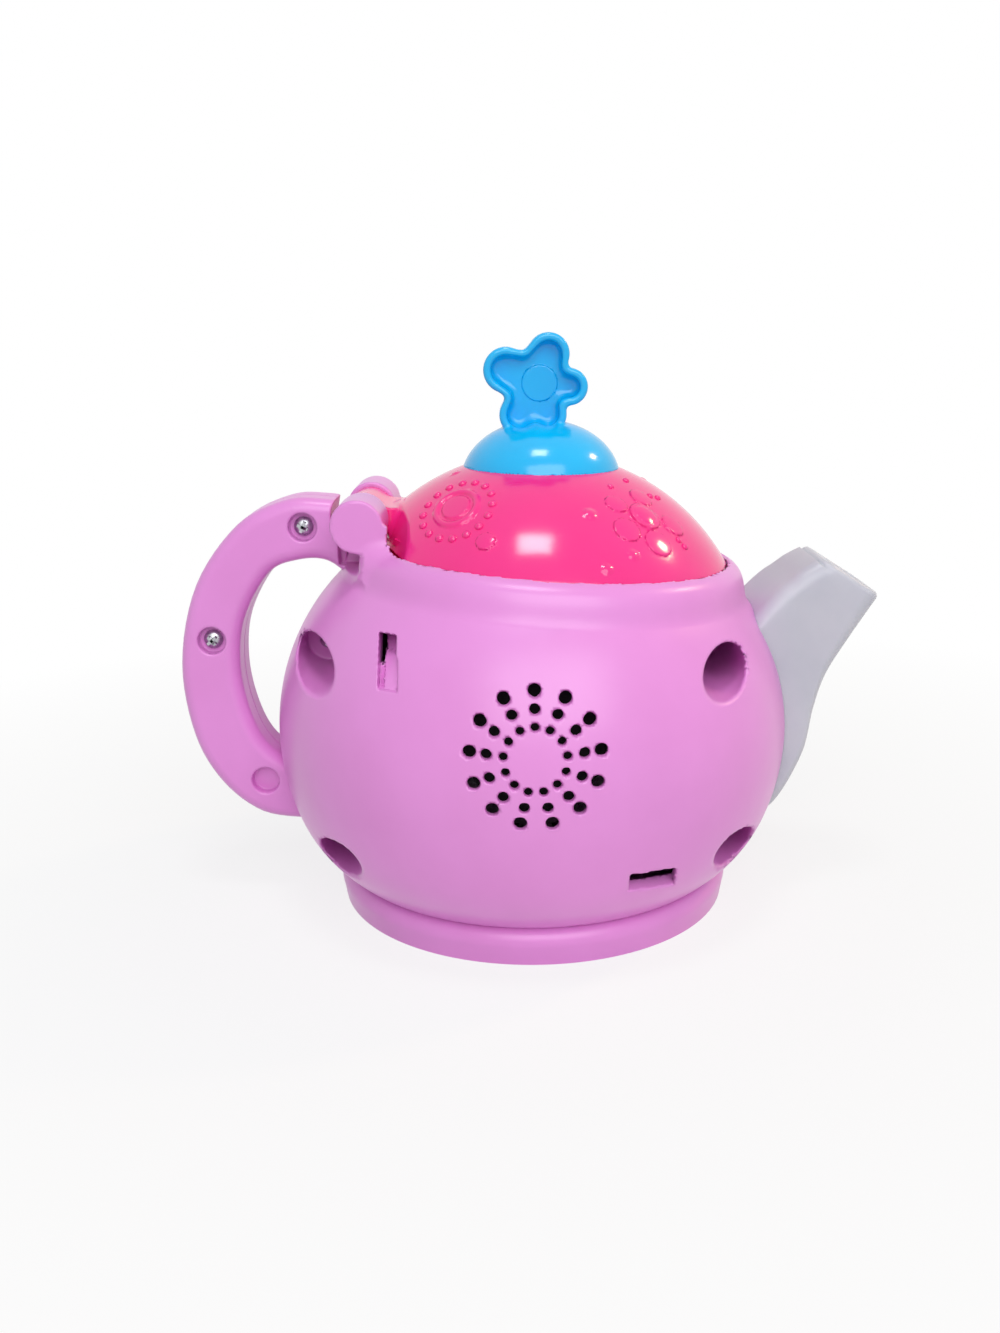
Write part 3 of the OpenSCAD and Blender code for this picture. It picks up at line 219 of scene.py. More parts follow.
def skin_of(field, lines):
    """Net of four-sided faces on the field's zero surface, with its points moved onto the surface.
    Blocks of the grid that the surface can't reach are left out."""
    block, slack, stray, rounds, least = 4, 1.5, 0.7, 3, 0.2
    shape = [len(line) for line in lines]
    firsts = [np.arange(0, n - 1, block) for n in shape]
    lasts = [np.minimum(f + block, n - 1) for f, n in zip(firsts, shape)]
    mids = [(line[f] + line[l]) / 2 for line, f, l in zip(lines, firsts, lasts)]
    halves = [(line[l] - line[f]) / 2 for line, f, l in zip(lines, firsts, lasts)]
    centres = np.stack(np.meshgrid(*mids, indexing="ij"), -1).reshape(-1, 3)
    reach = np.sqrt(sum(h ** 2 for h in np.meshgrid(*halves, indexing="ij"))).ravel()
    near = np.abs(in_parts(field, centres)) < slack * reach
    need = np.zeros(shape, bool)
    live = np.zeros([n - 1 for n in shape], bool)
    for flat in np.flatnonzero(near):
        i, j, k = (f[a] for f, a in zip(firsts, np.unravel_index(flat, [len(f) for f in firsts])))
        need[i:i + block + 1, j:j + block + 1, k:k + block + 1] = True
        live[i:i + block, j:j + block, k:k + block] = True
    index = np.argwhere(need)
    values = np.ones(shape)
    values[need] = in_parts(field, np.stack([line[index[:, a]] for a, line in enumerate(lines)], -1))
    inside = values < 0
    corners = [(a, b, c) for a in (0, 1) for b in (0, 1) for c in (0, 1)]
    count = sum(inside[a:a + shape[0] - 1, b:b + shape[1] - 1, c:c + shape[2] - 1].astype(np.int8)
                for a, b, c in corners)
    cells = np.argwhere(live & (count > 0) & (count < 8))
    number = np.full([n - 1 for n in shape], -1)
    number[tuple(cells.T)] = np.arange(len(cells))
    total, hits = np.zeros((len(cells), 3)), np.zeros(len(cells))
    for start in corners:
        for axis in range(3):
            if start[axis]:
                continue
            end = tuple(1 if a == axis else s for a, s in enumerate(start))
            one, two = cells + start, cells + end
            va, vb = values[tuple(one.T)], values[tuple(two.T)]
            cross = (va < 0) != (vb < 0)
            share = np.where(cross, va / np.where(cross, va - vb, 1), 0)[:, None]
            pa = np.stack([line[one[:, a]] for a, line in enumerate(lines)], -1)
            pb = np.stack([line[two[:, a]] for a, line in enumerate(lines)], -1)
            total += np.where(cross[:, None], pa + share * (pb - pa), 0)
            hits += cross
    points = total / hits[:, None]
    room = stray * np.stack([line[cells[:, a] + 1] - line[cells[:, a]] for a, line in enumerate(lines)], -1)
    first = points.copy()
    for _ in range(rounds):
        value, grad = slope(field, points)
        step = value[:, None] * grad / np.maximum((grad ** 2).sum(1), least)[:, None]
        points = np.clip(points - step, first - room, first + room)
    grad = slope(field, points)[1]
    normals = grad / np.maximum(np.linalg.norm(grad, axis=1), 1e-9)[:, None]
    faces = []
    for axis in range(3):
        b, c = (axis + 1) % 3, (axis + 2) % 3
        low = tuple(slice(0, n - 1) if a == axis else slice(0, n) for a, n in enumerate(shape))
        high = tuple(slice(1, n) if a == axis else slice(0, n) for a, n in enumerate(shape))
        edge = np.argwhere((inside[low] != inside[high]) & need[low] & need[high])
        edge = edge[(edge[:, b] > 0) & (edge[:, b] < shape[b] - 1)
                    & (edge[:, c] > 0) & (edge[:, c] < shape[c] - 1)]
        quad = []
        for db, dc in ((-1, -1), (0, -1), (0, 0), (-1, 0)):
            cell = edge.copy()
            cell[:, b] += db
            cell[:, c] += dc
            quad.append(number[tuple(cell.T)])
        quad = np.stack(quad, -1)
        outward = inside[tuple(edge.T)]
        quad[~outward] = quad[~outward][:, ::-1]
        faces.append(quad[(quad >= 0).all(1)])
    return points, np.concatenate(faces), normals


def piece(name, points, faces, material, normals=None):
    """Smooth-shaded mesh object from points in millimetres."""
    mesh = bpy.data.meshes.new(name)
    corners = faces.tolist() if isinstance(faces, np.ndarray) else faces
    mesh.from_pydata((np.asarray(points) * MM).tolist(), [], corners)
    mesh.shade_smooth()
    if normals is not None:
        mesh.normals_split_custom_set_from_vertices(normals.tolist())
    mesh.materials.append(material)
    made = bpy.data.objects.new(name, mesh)
    bpy.context.scene.collection.objects.link(made)
    return made


def tint(code):
    """Linear colour of an sRGB hex code."""
    parts = [int(code[i:i + 2], 16) / 255 for i in (1, 3, 5)]
    return tuple(p / 12.92 if p <= 0.04045 else ((p + 0.055) / 1.055) ** 2.4 for p in parts) + (1.0,)


def add(tree, kind, inputs=None, ramp=None, **settings):
    """Adds a node with its settings, its colour ramp and its inputs, which are values or sockets."""
    made = tree.nodes.new(kind)
    for key, value in settings.items():
        setattr(made, key, value)
    for key, value in (inputs or {}).items():
        if isinstance(value, bpy.types.NodeSocket):
            tree.links.new(value, made.inputs[key])
        else:
            made.inputs[key].default_value = value
    if ramp:
        while len(made.color_ramp.elements) < len(ramp):
            made.color_ramp.elements.new(1.0)
        for element, (place, colour) in zip(made.color_ramp.elements, ramp):
            element.position, element.color = place, colour
    return made


def finish(name):
    """New material with its tree, shader and object coordinates."""
    made = bpy.data.materials.new(name)
    made.use_nodes = True
    tree = made.node_tree
    place = add(tree, "ShaderNodeTexCoord").outputs["Object"]
    return made, tree, tree.nodes["Principled BSDF"], place


def moulded_abs(name, light, deep, rough_low, rough_high, cloud_mm, grain_mm, grain_depth):
    """Moulded ABS: an even colour with faint flow clouds, and a skin with a fine spark-eroded grain."""
    made, tree, shader, place = finish(name)
    cloud = add(tree, "ShaderNodeTexNoise", {"Vector": place, "Scale": 1 / (cloud_mm * MM), "Detail": 4.0})
    colour = add(tree, "ShaderNodeValToRGB", {"Fac": cloud.outputs["Fac"]},
                 ramp=[(0.32, tint(deep)), (0.62, tint(light))])
    smear = add(tree, "ShaderNodeTexNoise", {"Vector": place, "Scale": 3.2 / (cloud_mm * MM), "Detail": 6.0})
    rough = add(tree, "ShaderNodeMapRange", {"Value": smear.outputs["Fac"], "From Min": 0.3, "From Max": 0.7,
                                             "To Min": rough_low, "To Max": rough_high})
    grain = add(tree, "ShaderNodeTexNoise", {"Vector": place, "Scale": 1 / (grain_mm * MM), "Detail": 2.0})
    bump = add(tree, "ShaderNodeBump", {"Height": grain.outputs["Fac"], "Strength": 0.25,
                                        "Distance": grain_depth * MM})
    tree.links.new(colour.outputs["Color"], shader.inputs["Base Color"])
    tree.links.new(rough.outputs["Result"], shader.inputs["Roughness"])
    tree.links.new(bump.outputs["Normal"], shader.inputs["Normal"])
    shader.inputs["IOR"].default_value = 1.53
    return made


# Pale pink ABS from a lightly grained mould: a semi-gloss skin with soft broad highlights.
pale_pink_abs = moulded_abs("pale_pink_abs", "#E692DC", "#E28ED7", 0.29, 0.33, 22, 0.5, 0.012)

for shell, side in (("rear_shell", -1), ("front_shell", 1)):
    depth = (-69.0, 1.2) if side < 0 else (-1.2, 69.0)
    across_fine = ((-37.6, -29.8, 0.45), (-17.5, 17.5, 0.54), (20.6, 34.0, 0.8)) if side < 0 else ()
    upward_fine = ((20.6, 28.4, 0.6), (41.0, 69.0, 0.57), (69.0, 83.0, 0.5)) if side < 0 else ()
    lines = (stations(-69, 69, 1.3, across_fine + ((-50.0, -34.5, 0.8),)),
             stations(*depth, 1.2, ((-1.2, 1.2, 0.4),)),
             stations(8.2, 112.2, 1.25, upward_fine + ((88.0, 112.0, 0.55),)))
    points, faces, normals = skin_of(shell_field(side), lines)
    made = piece(shell + "_skin", points, faces, pale_pink_abs, normals)
    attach(made, "pot")
    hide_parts(shell)

# Shell, handle, base and liner screws: zinc plated pan heads with a cross recess, driven into
# moulded posts. The shells' sit deep in their wells, the handle's lie in shallow ones.
SCREW_R, HEAD_R, HEAD_H, RECESS_W, RECESS_H = 1.3, 2.5, 1.9, 0.75, 1.1
HANDLE_SCREWS = ((-58.3, 101.5, 3.0), (-84.0, 71.8, 3.0), (-72.3, 32.6, 7.0))
HANDLE_T = 17.4
BASE_SCREW_R, BASE_SCREW_TURNS, BASE_HEAD_Z = 45.0, (20, 160, 200, 340), 5.0
LINER_RING, LINER_Z = 34.6, 0.4


def reckon(tree, operation, a, b):
    """Adds a node that works out one number from two."""
    return add(tree, "ShaderNodeMath", {0: a, 1: b}, operation=operation).outputs[0]


def lifted(tree, geometry, height):
    """Adds nodes that move a geometry up by a height."""
    shift = add(tree, "ShaderNodeCombineXYZ", {"Z": height}).outputs[0]
    return add(tree, "GeometryNodeTransform", {"Geometry": geometry, "Translation": shift}).outputs[0]


def screw_tree():
    """Pan head screws on the points of a mesh, heads along the axis, each turned at random."""
    dome_share, cross_share, crisp_angle = 1.25, 1.15, math.radians(32)
    tree = bpy.data.node_groups.new("pan_head_screws", "GeometryNodeTree")
    face = tree.interface
    face.new_socket("Geometry", in_out="INPUT", socket_type="NodeSocketGeometry")
    for name in ("Head radius", "Head height", "Shank radius", "Shank length",
                 "Recess width", "Recess depth"):
        face.new_socket(name, in_out="INPUT", socket_type="NodeSocketFloat")
    face.new_socket("Axis", in_out="INPUT", socket_type="NodeSocketVector")
    face.new_socket("Plating", in_out="INPUT", socket_type="NodeSocketMaterial")
    face.new_socket("Geometry", in_out="OUTPUT", socket_type="NodeSocketGeometry")
    given = add(tree, "NodeGroupInput").outputs
    stub = add(tree, "GeometryNodeMeshCylinder", {"Vertices": 48, "Radius": given["Head radius"],
                                                  "Depth": given["Head height"]}).outputs["Mesh"]
    stub = lifted(tree, stub, reckon(tree, "MULTIPLY", given["Head height"], 0.5))
    dome_r = reckon(tree, "MULTIPLY", given["Head radius"], dome_share)
    dome = add(tree, "GeometryNodeMeshUVSphere", {"Segments": 48, "Rings": 32,
                                                  "Radius": dome_r}).outputs["Mesh"]
    dome = lifted(tree, dome, reckon(tree, "SUBTRACT", given["Head height"], dome_r))
    head = add(tree, "GeometryNodeMeshBoolean", operation="INTERSECT")
    tree.links.new(stub, head.inputs["Mesh 2"])
    tree.links.new(dome, head.inputs["Mesh 2"])
    reach = reckon(tree, "MULTIPLY", given["Head radius"], cross_share)
    twice = reckon(tree, "MULTIPLY", given["Recess depth"], 2.0)
    cross = add(tree, "GeometryNodeMeshBoolean", {"Mesh 1": head.outputs["Mesh"]}, operation="DIFFERENCE")
    for sides in (("X", "Y"), ("Y", "X")):
        size = add(tree, "ShaderNodeCombineXYZ", {sides[0]: reach, sides[1]: given["Recess width"],
                                                  "Z": twice}).outputs[0]
        bar = add(tree, "GeometryNodeMeshCube", {"Size": size}).outputs["Mesh"]
        tree.links.new(lifted(tree, bar, given["Head height"]), cross.inputs["Mesh 2"])
    shank = add(tree, "GeometryNodeMeshCylinder", {"Vertices": 24, "Radius": given["Shank radius"],
                                                   "Depth": given["Shank length"]}).outputs["Mesh"]
    shank = lifted(tree, shank, reckon(tree, "MULTIPLY", given["Shank length"], -0.5))
    whole = add(tree, "GeometryNodeJoinGeometry")
    tree.links.new(cross.outputs["Mesh"], whole.inputs[0])
    tree.links.new(shank, whole.inputs[0])
    bend = add(tree, "GeometryNodeInputMeshEdgeAngle").outputs["Unsigned Angle"]
    crisp = add(tree, "FunctionNodeCompare", {0: bend, 1: crisp_angle}, operation="GREATER_THAN").outputs[0]
    soft = add(tree, "GeometryNodeSetShadeSmooth", {"Geometry": whole.outputs[0], "Shade Smooth": True})
    soft = add(tree, "GeometryNodeSetShadeSmooth", {"Geometry": soft.outputs[0], "Selection": crisp,
                                                    "Shade Smooth": False}, domain="EDGE")
    upright = add(tree, "FunctionNodeAlignRotationToVector", {"Vector": given["Axis"]}, axis="Z")
    spin = add(tree, "FunctionNodeRandomValue", {"Seed": 7}, data_type="FLOAT")
    spin.inputs[3].default_value = math.pi / 2
    spin = add(tree, "ShaderNodeCombineXYZ", {"Z": spin.outputs[1]}).outputs[0]
    spin = add(tree, "FunctionNodeEulerToRotation", {0: spin}).outputs[0]
    turned = add(tree, "FunctionNodeRotateRotation", {"Rotation": upright.outputs[0], "Rotate By": spin},
                 rotation_space="LOCAL")
    laid = add(tree, "GeometryNodeInstanceOnPoints", {
        "Points": given["Geometry"], "Instance": soft.outputs[0], "Rotation": turned.outputs[0]})
    real = add(tree, "GeometryNodeRealizeInstances", {"Geometry": laid.outputs[0]})
    plated = add(tree, "GeometryNodeSetMaterial", {"Geometry": real.outputs[0], "Material": given["Plating"]})
    add(tree, "NodeGroupOutput", {"Geometry": plated.outputs[0]})
    return tree


def grown(name, points, tree, values, attributes=None):
    """Mesh grown by a node tree on points in millimetres, settled to a plain mesh."""
    seeds = bpy.data.meshes.new(name)
    seeds.from_pydata((np.asarray(points, float) * MM).tolist(), [], [])
    for key, (kind, rows) in (attributes or {}).items():
        layer = seeds.attributes.new(key, kind, "POINT")
        layer.data.foreach_set("vector" if kind == "FLOAT_VECTOR" else "value", np.ravel(rows))
    made = bpy.data.objects.new(name, seeds)
    bpy.context.scene.collection.objects.link(made)
    growth = made.modifiers.new("growth", "NODES")
    growth.node_group = tree
    for socket in tree.interface.items_tree:
        if socket.in_out == "INPUT" and socket.name in values:
            growth[socket.identifier] = values[socket.name]
    settled = bpy.data.meshes.new_from_object(made.evaluated_get(bpy.context.evaluated_depsgraph_get()))
    made.modifiers.clear()
    made.data = settled
    settled.name = name
    return made


def zinc_plate(name):
    """Zinc plating: a bright metal with a cool cast, slightly uneven and clouded from handling."""
    made, tree, shader, place = finish(name)
    cloud = add(tree, "ShaderNodeTexNoise", {"Vector": place, "Scale": 1 / (1.1 * MM), "Detail": 5.0})
    colour = add(tree, "ShaderNodeValToRGB", {"Fac": cloud.outputs["Fac"]},
                 ramp=[(0.3, tint("#A3A5AB")), (0.7, tint("#CFD1D4"))])
    rough = add(tree, "ShaderNodeMapRange", {"Value": cloud.outputs["Fac"], "To Min": 0.2, "To Max": 0.42})
    tree.links.new(colour.outputs["Color"], shader.inputs["Base Color"])
    tree.links.new(rough.outputs["Result"], shader.inputs["Roughness"])
    shader.inputs["Metallic"].default_value = 1.0
    return made


zinc_plated_steel = zinc_plate("zinc_plated_steel")
pan_screws = screw_tree()


def mouth_point(u, v, w):
    """Point of the frame from its place across, beside and along the mouth's axis."""
    return (MOUTH_X + math.cos(TILT) * u + math.sin(TILT) * w, v,
            MOUTH_Z - math.sin(TILT) * u + math.cos(TILT) * w)


def polar(r, turns, z):
    """Points on a level circle, at turns in degrees."""
    return [(r * math.cos(math.radians(t)), r * math.sin(math.radians(t)), z) for t in turns]


SCREW_SETS = (
    ("body_screws", "pot", [(x, -WELL_FLOOR, z) for x, z in WELLS], (0, -1, 0), 12.0),
    ("handle_screws", "pot", [(x, sunk - HANDLE_T / 2, z) for x, z, sunk in HANDLE_SCREWS], (0, -1, 0), 9.0),
    ("base_screws", "pot", polar(BASE_SCREW_R, BASE_SCREW_TURNS, BASE_HEAD_Z), (0, 0, -1), 8.5),
    ("liner_screws", "lid", [mouth_point(*p) for p in polar(LINER_RING, (0, 120, 240), LINER_Z)],
     (-math.sin(TILT), 0, -math.cos(TILT)), 6.0),
)
for name, body, places, axis, length in SCREW_SETS:
    made = grown(name + "_pan", places, pan_screws, {
        "Head radius": HEAD_R * MM, "Head height": HEAD_H * MM, "Shank radius": SCREW_R * MM,
        "Shank length": length * MM, "Recess width": RECESS_W * MM, "Recess depth": RECESS_H * MM,
        "Axis": axis, "Plating": zinc_plated_steel})
    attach(made, body)
    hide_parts(name)

# Handle: a loop in two moulded halves of the same pale pink ABS, screwed together from the
# rear through three wells and held by tongues behind the shells' walls.
HANDLE = np.array([
    (-43.6, 106.8, -45.0, 86.0), (-52.8, 108.5, -52.5, 92.3), (-62.9, 108.3, -61.0, 92.5),
    (-75.7, 102.0, -68.5, 89.0), (-87.6, 86.3, -75.6, 76.8), (-93.0, 65.4, -77.4, 63.6),
    (-91.1, 45.4, -75.4, 50.9), (-84.5, 31.7, -71.0, 41.8), (-74.0, 22.8, -62.9, 36.2),
    (-61.1, 20.6, -52.8, 34.1)])
HANDLE_EDGE, HANDLE_WELL_R, HANDLE_WELL_H, HANDLE_SCOOP, SEAT_GAP = 3.4, 3.7, 3.0, 8.55, 0.15
HANDLE_END, NECK_LOW, NECK, LOOP_POINTS = -49.3, 91.4, 4.4, 55


def spline(table, t):
    """Catmull-Rom point on a table of stations."""
    i = min(int(t), len(table) - 2)
    s = t - i
    a, b, c, d = (table[min(max(k, 0), len(table) - 1)] for k in range(i - 1, i + 3))
    return 0.5 * (2 * b + s * (c - a) + s * s * (2 * a - 5 * b + 4 * c - d)
                  + s ** 3 * (3 * b - a - 3 * c + d))


def outline_distance(a, b, ring):
    """Signed distance in a plane from a closed outline; inside is negative."""
    best = np.full(a.shape, 1e9)
    inside = np.zeros(a.shape, bool)
    for (x0, y0), (x1, y1) in zip(ring, np.roll(ring, -1, 0)):
        ex, ey = x1 - x0, y1 - y0
        t = np.clip(((a - x0) * ex + (b - y0) * ey) / (ex * ex + ey * ey), 0, 1)
        best = np.minimum(best, (a - x0 - t * ex) ** 2 + (b - y0 - t * ey) ** 2)
        if y0 != y1:
            inside ^= ((y0 > b) != (y1 > b)) & (a < ex * (b - y0) / ey + x0)
    return np.where(inside, -1, 1) * np.sqrt(best)


loop = np.array([spline(HANDLE, t) for t in np.linspace(0, len(HANDLE) - 1, LOOP_POINTS)])
loop = np.concatenate([loop[:, :2], loop[::-1, 2:]])


def handle_field(side):
    """Distance field of one half of the handle: side is -1 for the rear and 1 for the front."""
    cut_edge, well_edge, well_floor_edge = 0.5, 0.55, 0.4

    def field(x, y, z):
        u, w = in_mouth(x, z)
        q = np.hypot(u, y)
        flat = outline_distance(x, z, loop) + HANDLE_EDGE
        deep = np.abs(y) - HANDLE_T / 2 + HANDLE_EDGE
        solid = np.hypot(np.maximum(flat, 0), np.maximum(deep, 0)) + np.minimum(np.maximum(flat, deep), 0)
        solid = solid - HANDLE_EDGE
        rim = rod(q, w, (RIM_C, -RIM_DROP), RIM_R + SEAT_GAP)
        solid = np.maximum(solid, -np.minimum(belly(x, y, z) - SEAT_GAP, rim))
        solid = np.maximum(solid, -np.maximum(q - MOUTH_R, -w - RIM_DROP))
        solid = meet(solid, HANDLE_SCOOP - rod(x, z, (HINGE_X, HINGE_Z), 0), cut_edge)
        neck = np.maximum.reduce([HANDLE_END - x, NECK_LOW - z, NECK - np.abs(y)])
        solid = meet(solid, -neck, cut_edge)
        if side < 0:
            for at in HANDLE_SCREWS:
                floor = y + HANDLE_T / 2 - HANDLE_WELL_H
                well = meet(rod(x, z, at, HANDLE_WELL_R), floor, well_floor_edge)
                solid = meet(solid, -well, well_edge)
        return meet(solid, SEAM - side * y, SEAM_EDGE)

    return field


for half, side in (("handle_rear", -1), ("handle_front", 1)):
    depth = (-9.6, 0.9) if side < 0 else (-0.9, 9.6)
    lines = (stations(-96, -40, 0.5), stations(*depth, 0.5), stations(17, 111, 0.5))
    points, faces, normals = skin_of(handle_field(side), lines)
    made = piece(half + "_skin", points, faces, pale_pink_abs, normals)
    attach(made, "pot")
    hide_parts(half)

# Base: a foot ring and bottom panel in one pale pink moulding, with the battery box inside.
# The screwed battery door closes it from below.
def dress(names, stuff):
    """Gives a finish to nodes that keep their solids."""
    for name in names:
        nodes[name].data.materials.clear()
        nodes[name].data.materials.append(stuff)


dress(("base", "battery_door"), pale_pink_abs)

# Spout: one hollow moulding in milky polypropylene, so that the lamps behind it shine through.
# It is a curved horn with rounded edges and a shallow dish in its closed mouth.
SPOUT = np.array([
    (52.4, 70.8, 55.2, 21.7, 18.0), (59.0, 79.1, 64.0, 26.1, 17.0), (63.5, 83.9, 71.4, 39.2, 16.0),
    (67.0, 86.7, 74.1, 51.4, 15.0), (69.9, 89.0, 77.2, 60.8, 14.3), (72.9, 90.8, 83.6, 71.3, 13.6),
    (75.0, 91.9, 90.6, 81.8, 13.0)])
SPOUT_EDGE, LEAST_EDGE, CORNER_POINTS, SIDE_SHARES = 4.6, 0.9, 11, (0.2, 0.4, 0.6, 0.8)
SPOUT_END, SPOUT_RINGS = 5.3, 66
MOUTH_RINGS = ((0.0, 1.5), (0.05, 1.12), (0.2, 0.75), (0.44, 0.44), (0.75, 0.2), (1.12, 0.05),
               (1.5, 0.0), (1.75, 0.04), (1.97, 0.16), (2.14, 0.36), (2.22, 0.6), (2.45, 1.7),
               (2.6, 2.1), (2.9, 2.35), (3.4, 2.4), (4.5, 2.4), (6.0, 2.4))


def spout_ring(station, inset, sunk):
    """Rounded ring across the spout, set inwards and sunk below its mouth."""
    top, low = station[:2], station[2:4]
    tall = np.linalg.norm(top - low)
    along = (top - low) / tall
    out = np.array((along[1], -along[0]))
    half = station[4] - inset
    r = max(SPOUT_EDGE - inset, LEAST_EDGE)
    corners = ((tall - inset - r, half - r, 0), (inset + r, half - r, 90),
               (inset + r, r - half, 180), (tall - inset - r, r - half, 270))
    flat = [np.array((c + r * math.cos(math.radians(a + s)), d + r * math.sin(math.radians(a + s))))
            for c, d, a in corners for s in np.linspace(0, 90, CORNER_POINTS)]
    ring = []
    for k, p in enumerate(flat):
        ring.append(p)
        if (k + 1) % CORNER_POINTS == 0:
            side = flat[(k + 1) % len(flat)] - p
            ring += [p + side * s for s in SIDE_SHARES]
    return [(low[0] + along[0] * p[0] - out[0] * sunk, p[1],
             low[1] + along[1] * p[0] - out[1] * sunk) for p in ring]


rings = [spout_ring(spline(SPOUT, t), 0, 0) for t in np.linspace(0, SPOUT_END, SPOUT_RINGS)]
rings += [spout_ring(SPOUT[-1], inset, sunk) for inset, sunk in MOUTH_RINGS]
count = len(rings[0])
points = [p for ring in rings for p in ring]
faces = [(i * count + j, i * count + (j + 1) % count, (i + 1) * count + (j + 1) % count, (i + 1) * count + j)
         for i in range(len(rings) - 1) for j in range(count)]
for ring, flip in ((0, True), (len(rings) - 1, False)):
    hub = len(points)
    points.append(tuple(np.mean(rings[ring], 0)))
    for j in range(count):
        a, b = ring * count + j, ring * count + (j + 1) % count
        faces.append((b, a, hub) if flip else (a, b, hub))


def milky(name):
    """Milky polypropylene: light sinks in and scatters, so its shade is soft and slightly lilac."""
    made, tree, shader, place = finish(name)
    cloud = add(tree, "ShaderNodeTexNoise", {"Vector": place, "Scale": 1 / (14 * MM), "Detail": 4.0})
    colour = add(tree, "ShaderNodeValToRGB", {"Fac": cloud.outputs["Fac"]},
                 ramp=[(0.3, tint("#BEC0CA")), (0.7, tint("#C6C7D0"))])
    grain = add(tree, "ShaderNodeTexNoise", {"Vector": place, "Scale": 1 / (0.6 * MM), "Detail": 2.0})
    bump = add(tree, "ShaderNodeBump", {"Height": grain.outputs["Fac"], "Strength": 0.2,
                                        "Distance": 0.02 * MM})
    rough = add(tree, "ShaderNodeMapRange", {"Value": cloud.outputs["Fac"], "To Min": 0.3, "To Max": 0.45})
    tree.links.new(colour.outputs["Color"], shader.inputs["Base Color"])
    tree.links.new(rough.outputs["Result"], shader.inputs["Roughness"])
    tree.links.new(bump.outputs["Normal"], shader.inputs["Normal"])
    shader.inputs["Subsurface Weight"].default_value = 0.5
    shader.inputs["Subsurface Radius"].default_value = (1.0, 0.95, 1.0)
    shader.inputs["Subsurface Scale"].default_value = 4 * MM
    shader.inputs["IOR"].default_value = 1.49
    return made


milky_polypropylene = milky("milky_polypropylene")
spout_horn = piece("spout_horn", points, faces, milky_polypropylene)
spout_horn.data.set_sharp_from_angle(angle=math.radians(50))
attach(spout_horn, "pot")
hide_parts("spout")

# Lid: a gloss hot pink ABS dome with a knuckle that turns on a steel pin between the ears.
# A ringed oval and a five-petalled flower stand up from it, with small dots round them.
LID_ARC, LID_RISE, LID_WALL, LID_R, LID_SEAT, TRIM_R = 57.2, 24.1, 2.0, 47.42, 1.2, 7.35
KNUCKLE, KNUCKLE_R, KNUCKLE_GAP = 10.2, 5.5, 0.12
WEB = ((HINGE_X, HINGE_Z - 4), (HINGE_X + 9, HINGE_Z + 2.4))
FACET = (-0.8655, 0.2698, 0.422, 75.6)
COIN_BULGE, COIN_EDGE, BEAD_SHARE = 1.7, 0.2, 0.3
COINS = ((17.4, -33.0, 3.5, 0.6), (25.3, -31.6, 3.7, 0.6), (14.9, -26.6, 2.9, 0.6), (21.5, -19.3, 3.1, 0.6),
         (29.6, -22.4, 3.3, 0.6), (-15.8, -38.5, 2.4, 0.8), (22.1, -26.1, 4.2, 0.75),
         (22.1, -26.1, 3.0, 1.15))
BEADS = ((18.9, -38.0, 1.6), (12.7, -43.0, 1.5), (8.4, -32.3, 1.9), (-24.8, -7.2, 1.3))
OVAL, OVAL_LONG, OVAL_WIDE, OVAL_TURN = (-23.5, -26.2), 1.19, 5.3, math.radians(-45)
RING_R, RING_SUNK, BUTTON_R, BUTTON_RISE = 0.95, 0.3, 3.7, 0.5
DOTS, DOT_RING, DOT_R, DOT_RISE = 16, 9.2, 1.1, 0.7
SMALL_DOTS = ((31.0, -25.7, 0.9), (32.6, -26.0, 1.0), (18.2, -12.8, 0.9), (13.9, -19.9, 0.9),
              (24.3, -15.1, 0.9), (26.5, -13.2, 0.9))
dome_centre = np.array(mouth_point(0, 0, LID_RISE - LID_ARC))


def on_dome(u, v):
    """Point of the lid's dome above a place across the mouth, and the way out there."""
    w = LID_RISE - LID_ARC + math.sqrt(LID_ARC ** 2 - u * u - v * v)
    point = np.array(mouth_point(u, v, w))
    return point, (point - dome_centre) / LID_ARC


def dome_frame(u, v):
    """On the dome: a point, the way out, the way along the level, and the way up the slope."""
    point, out = on_dome(u, v)
    level = np.cross((0, 0, 1), out)
    level /= np.linalg.norm(level)
    return point, out, level, np.cross(out, level)


def pebble(x, y, z, at, out, r, rise):
    """Low round swelling of a given footprint and height."""
    ball = (r * r + rise * rise) / (2 * rise)
    c = at - out * (ball - rise)
    return np.sqrt((x - c[0]) ** 2 + (y - c[1]) ** 2 + (z - c[2]) ** 2) - ball


def part_along(offset, way):
    """How far offsets in x, y and z reach along a way."""
    return offset[0] * way[0] + offset[1] * way[1] + offset[2] * way[2]


def coin(x, y, z, at, out, r, rise):
    """Low disc with a slightly domed face and a crisp edge."""
    offset = x - at[0], y - at[1], z - at[2]
    high = part_along(offset, out)
    aside = np.sqrt(np.maximum(part_along(offset, offset) - high * high, 0))
    return meet(aside - r, pebble(x, y, z, at, out, COIN_BULGE * r, rise), COIN_EDGE)


swells, coins = [], []
for face in (1, -1):
    coins += [(*on_dome(u * face, v * face), r, rise) for u, v, r, rise in COINS]
    swells += [(*on_dome(u * face, v * face), r, BEAD_SHARE * r) for u, v, r in BEADS]


def oval_frame(face):
    """Place of the ringed oval, the way out there, and its long and short ways."""
    at, out, level, slope_up = dome_frame(OVAL[0] * face, OVAL[1] * face)
    return (at, out, math.cos(OVAL_TURN) * level + math.sin(OVAL_TURN) * slope_up,
            math.cos(OVAL_TURN) * slope_up - math.sin(OVAL_TURN) * level)


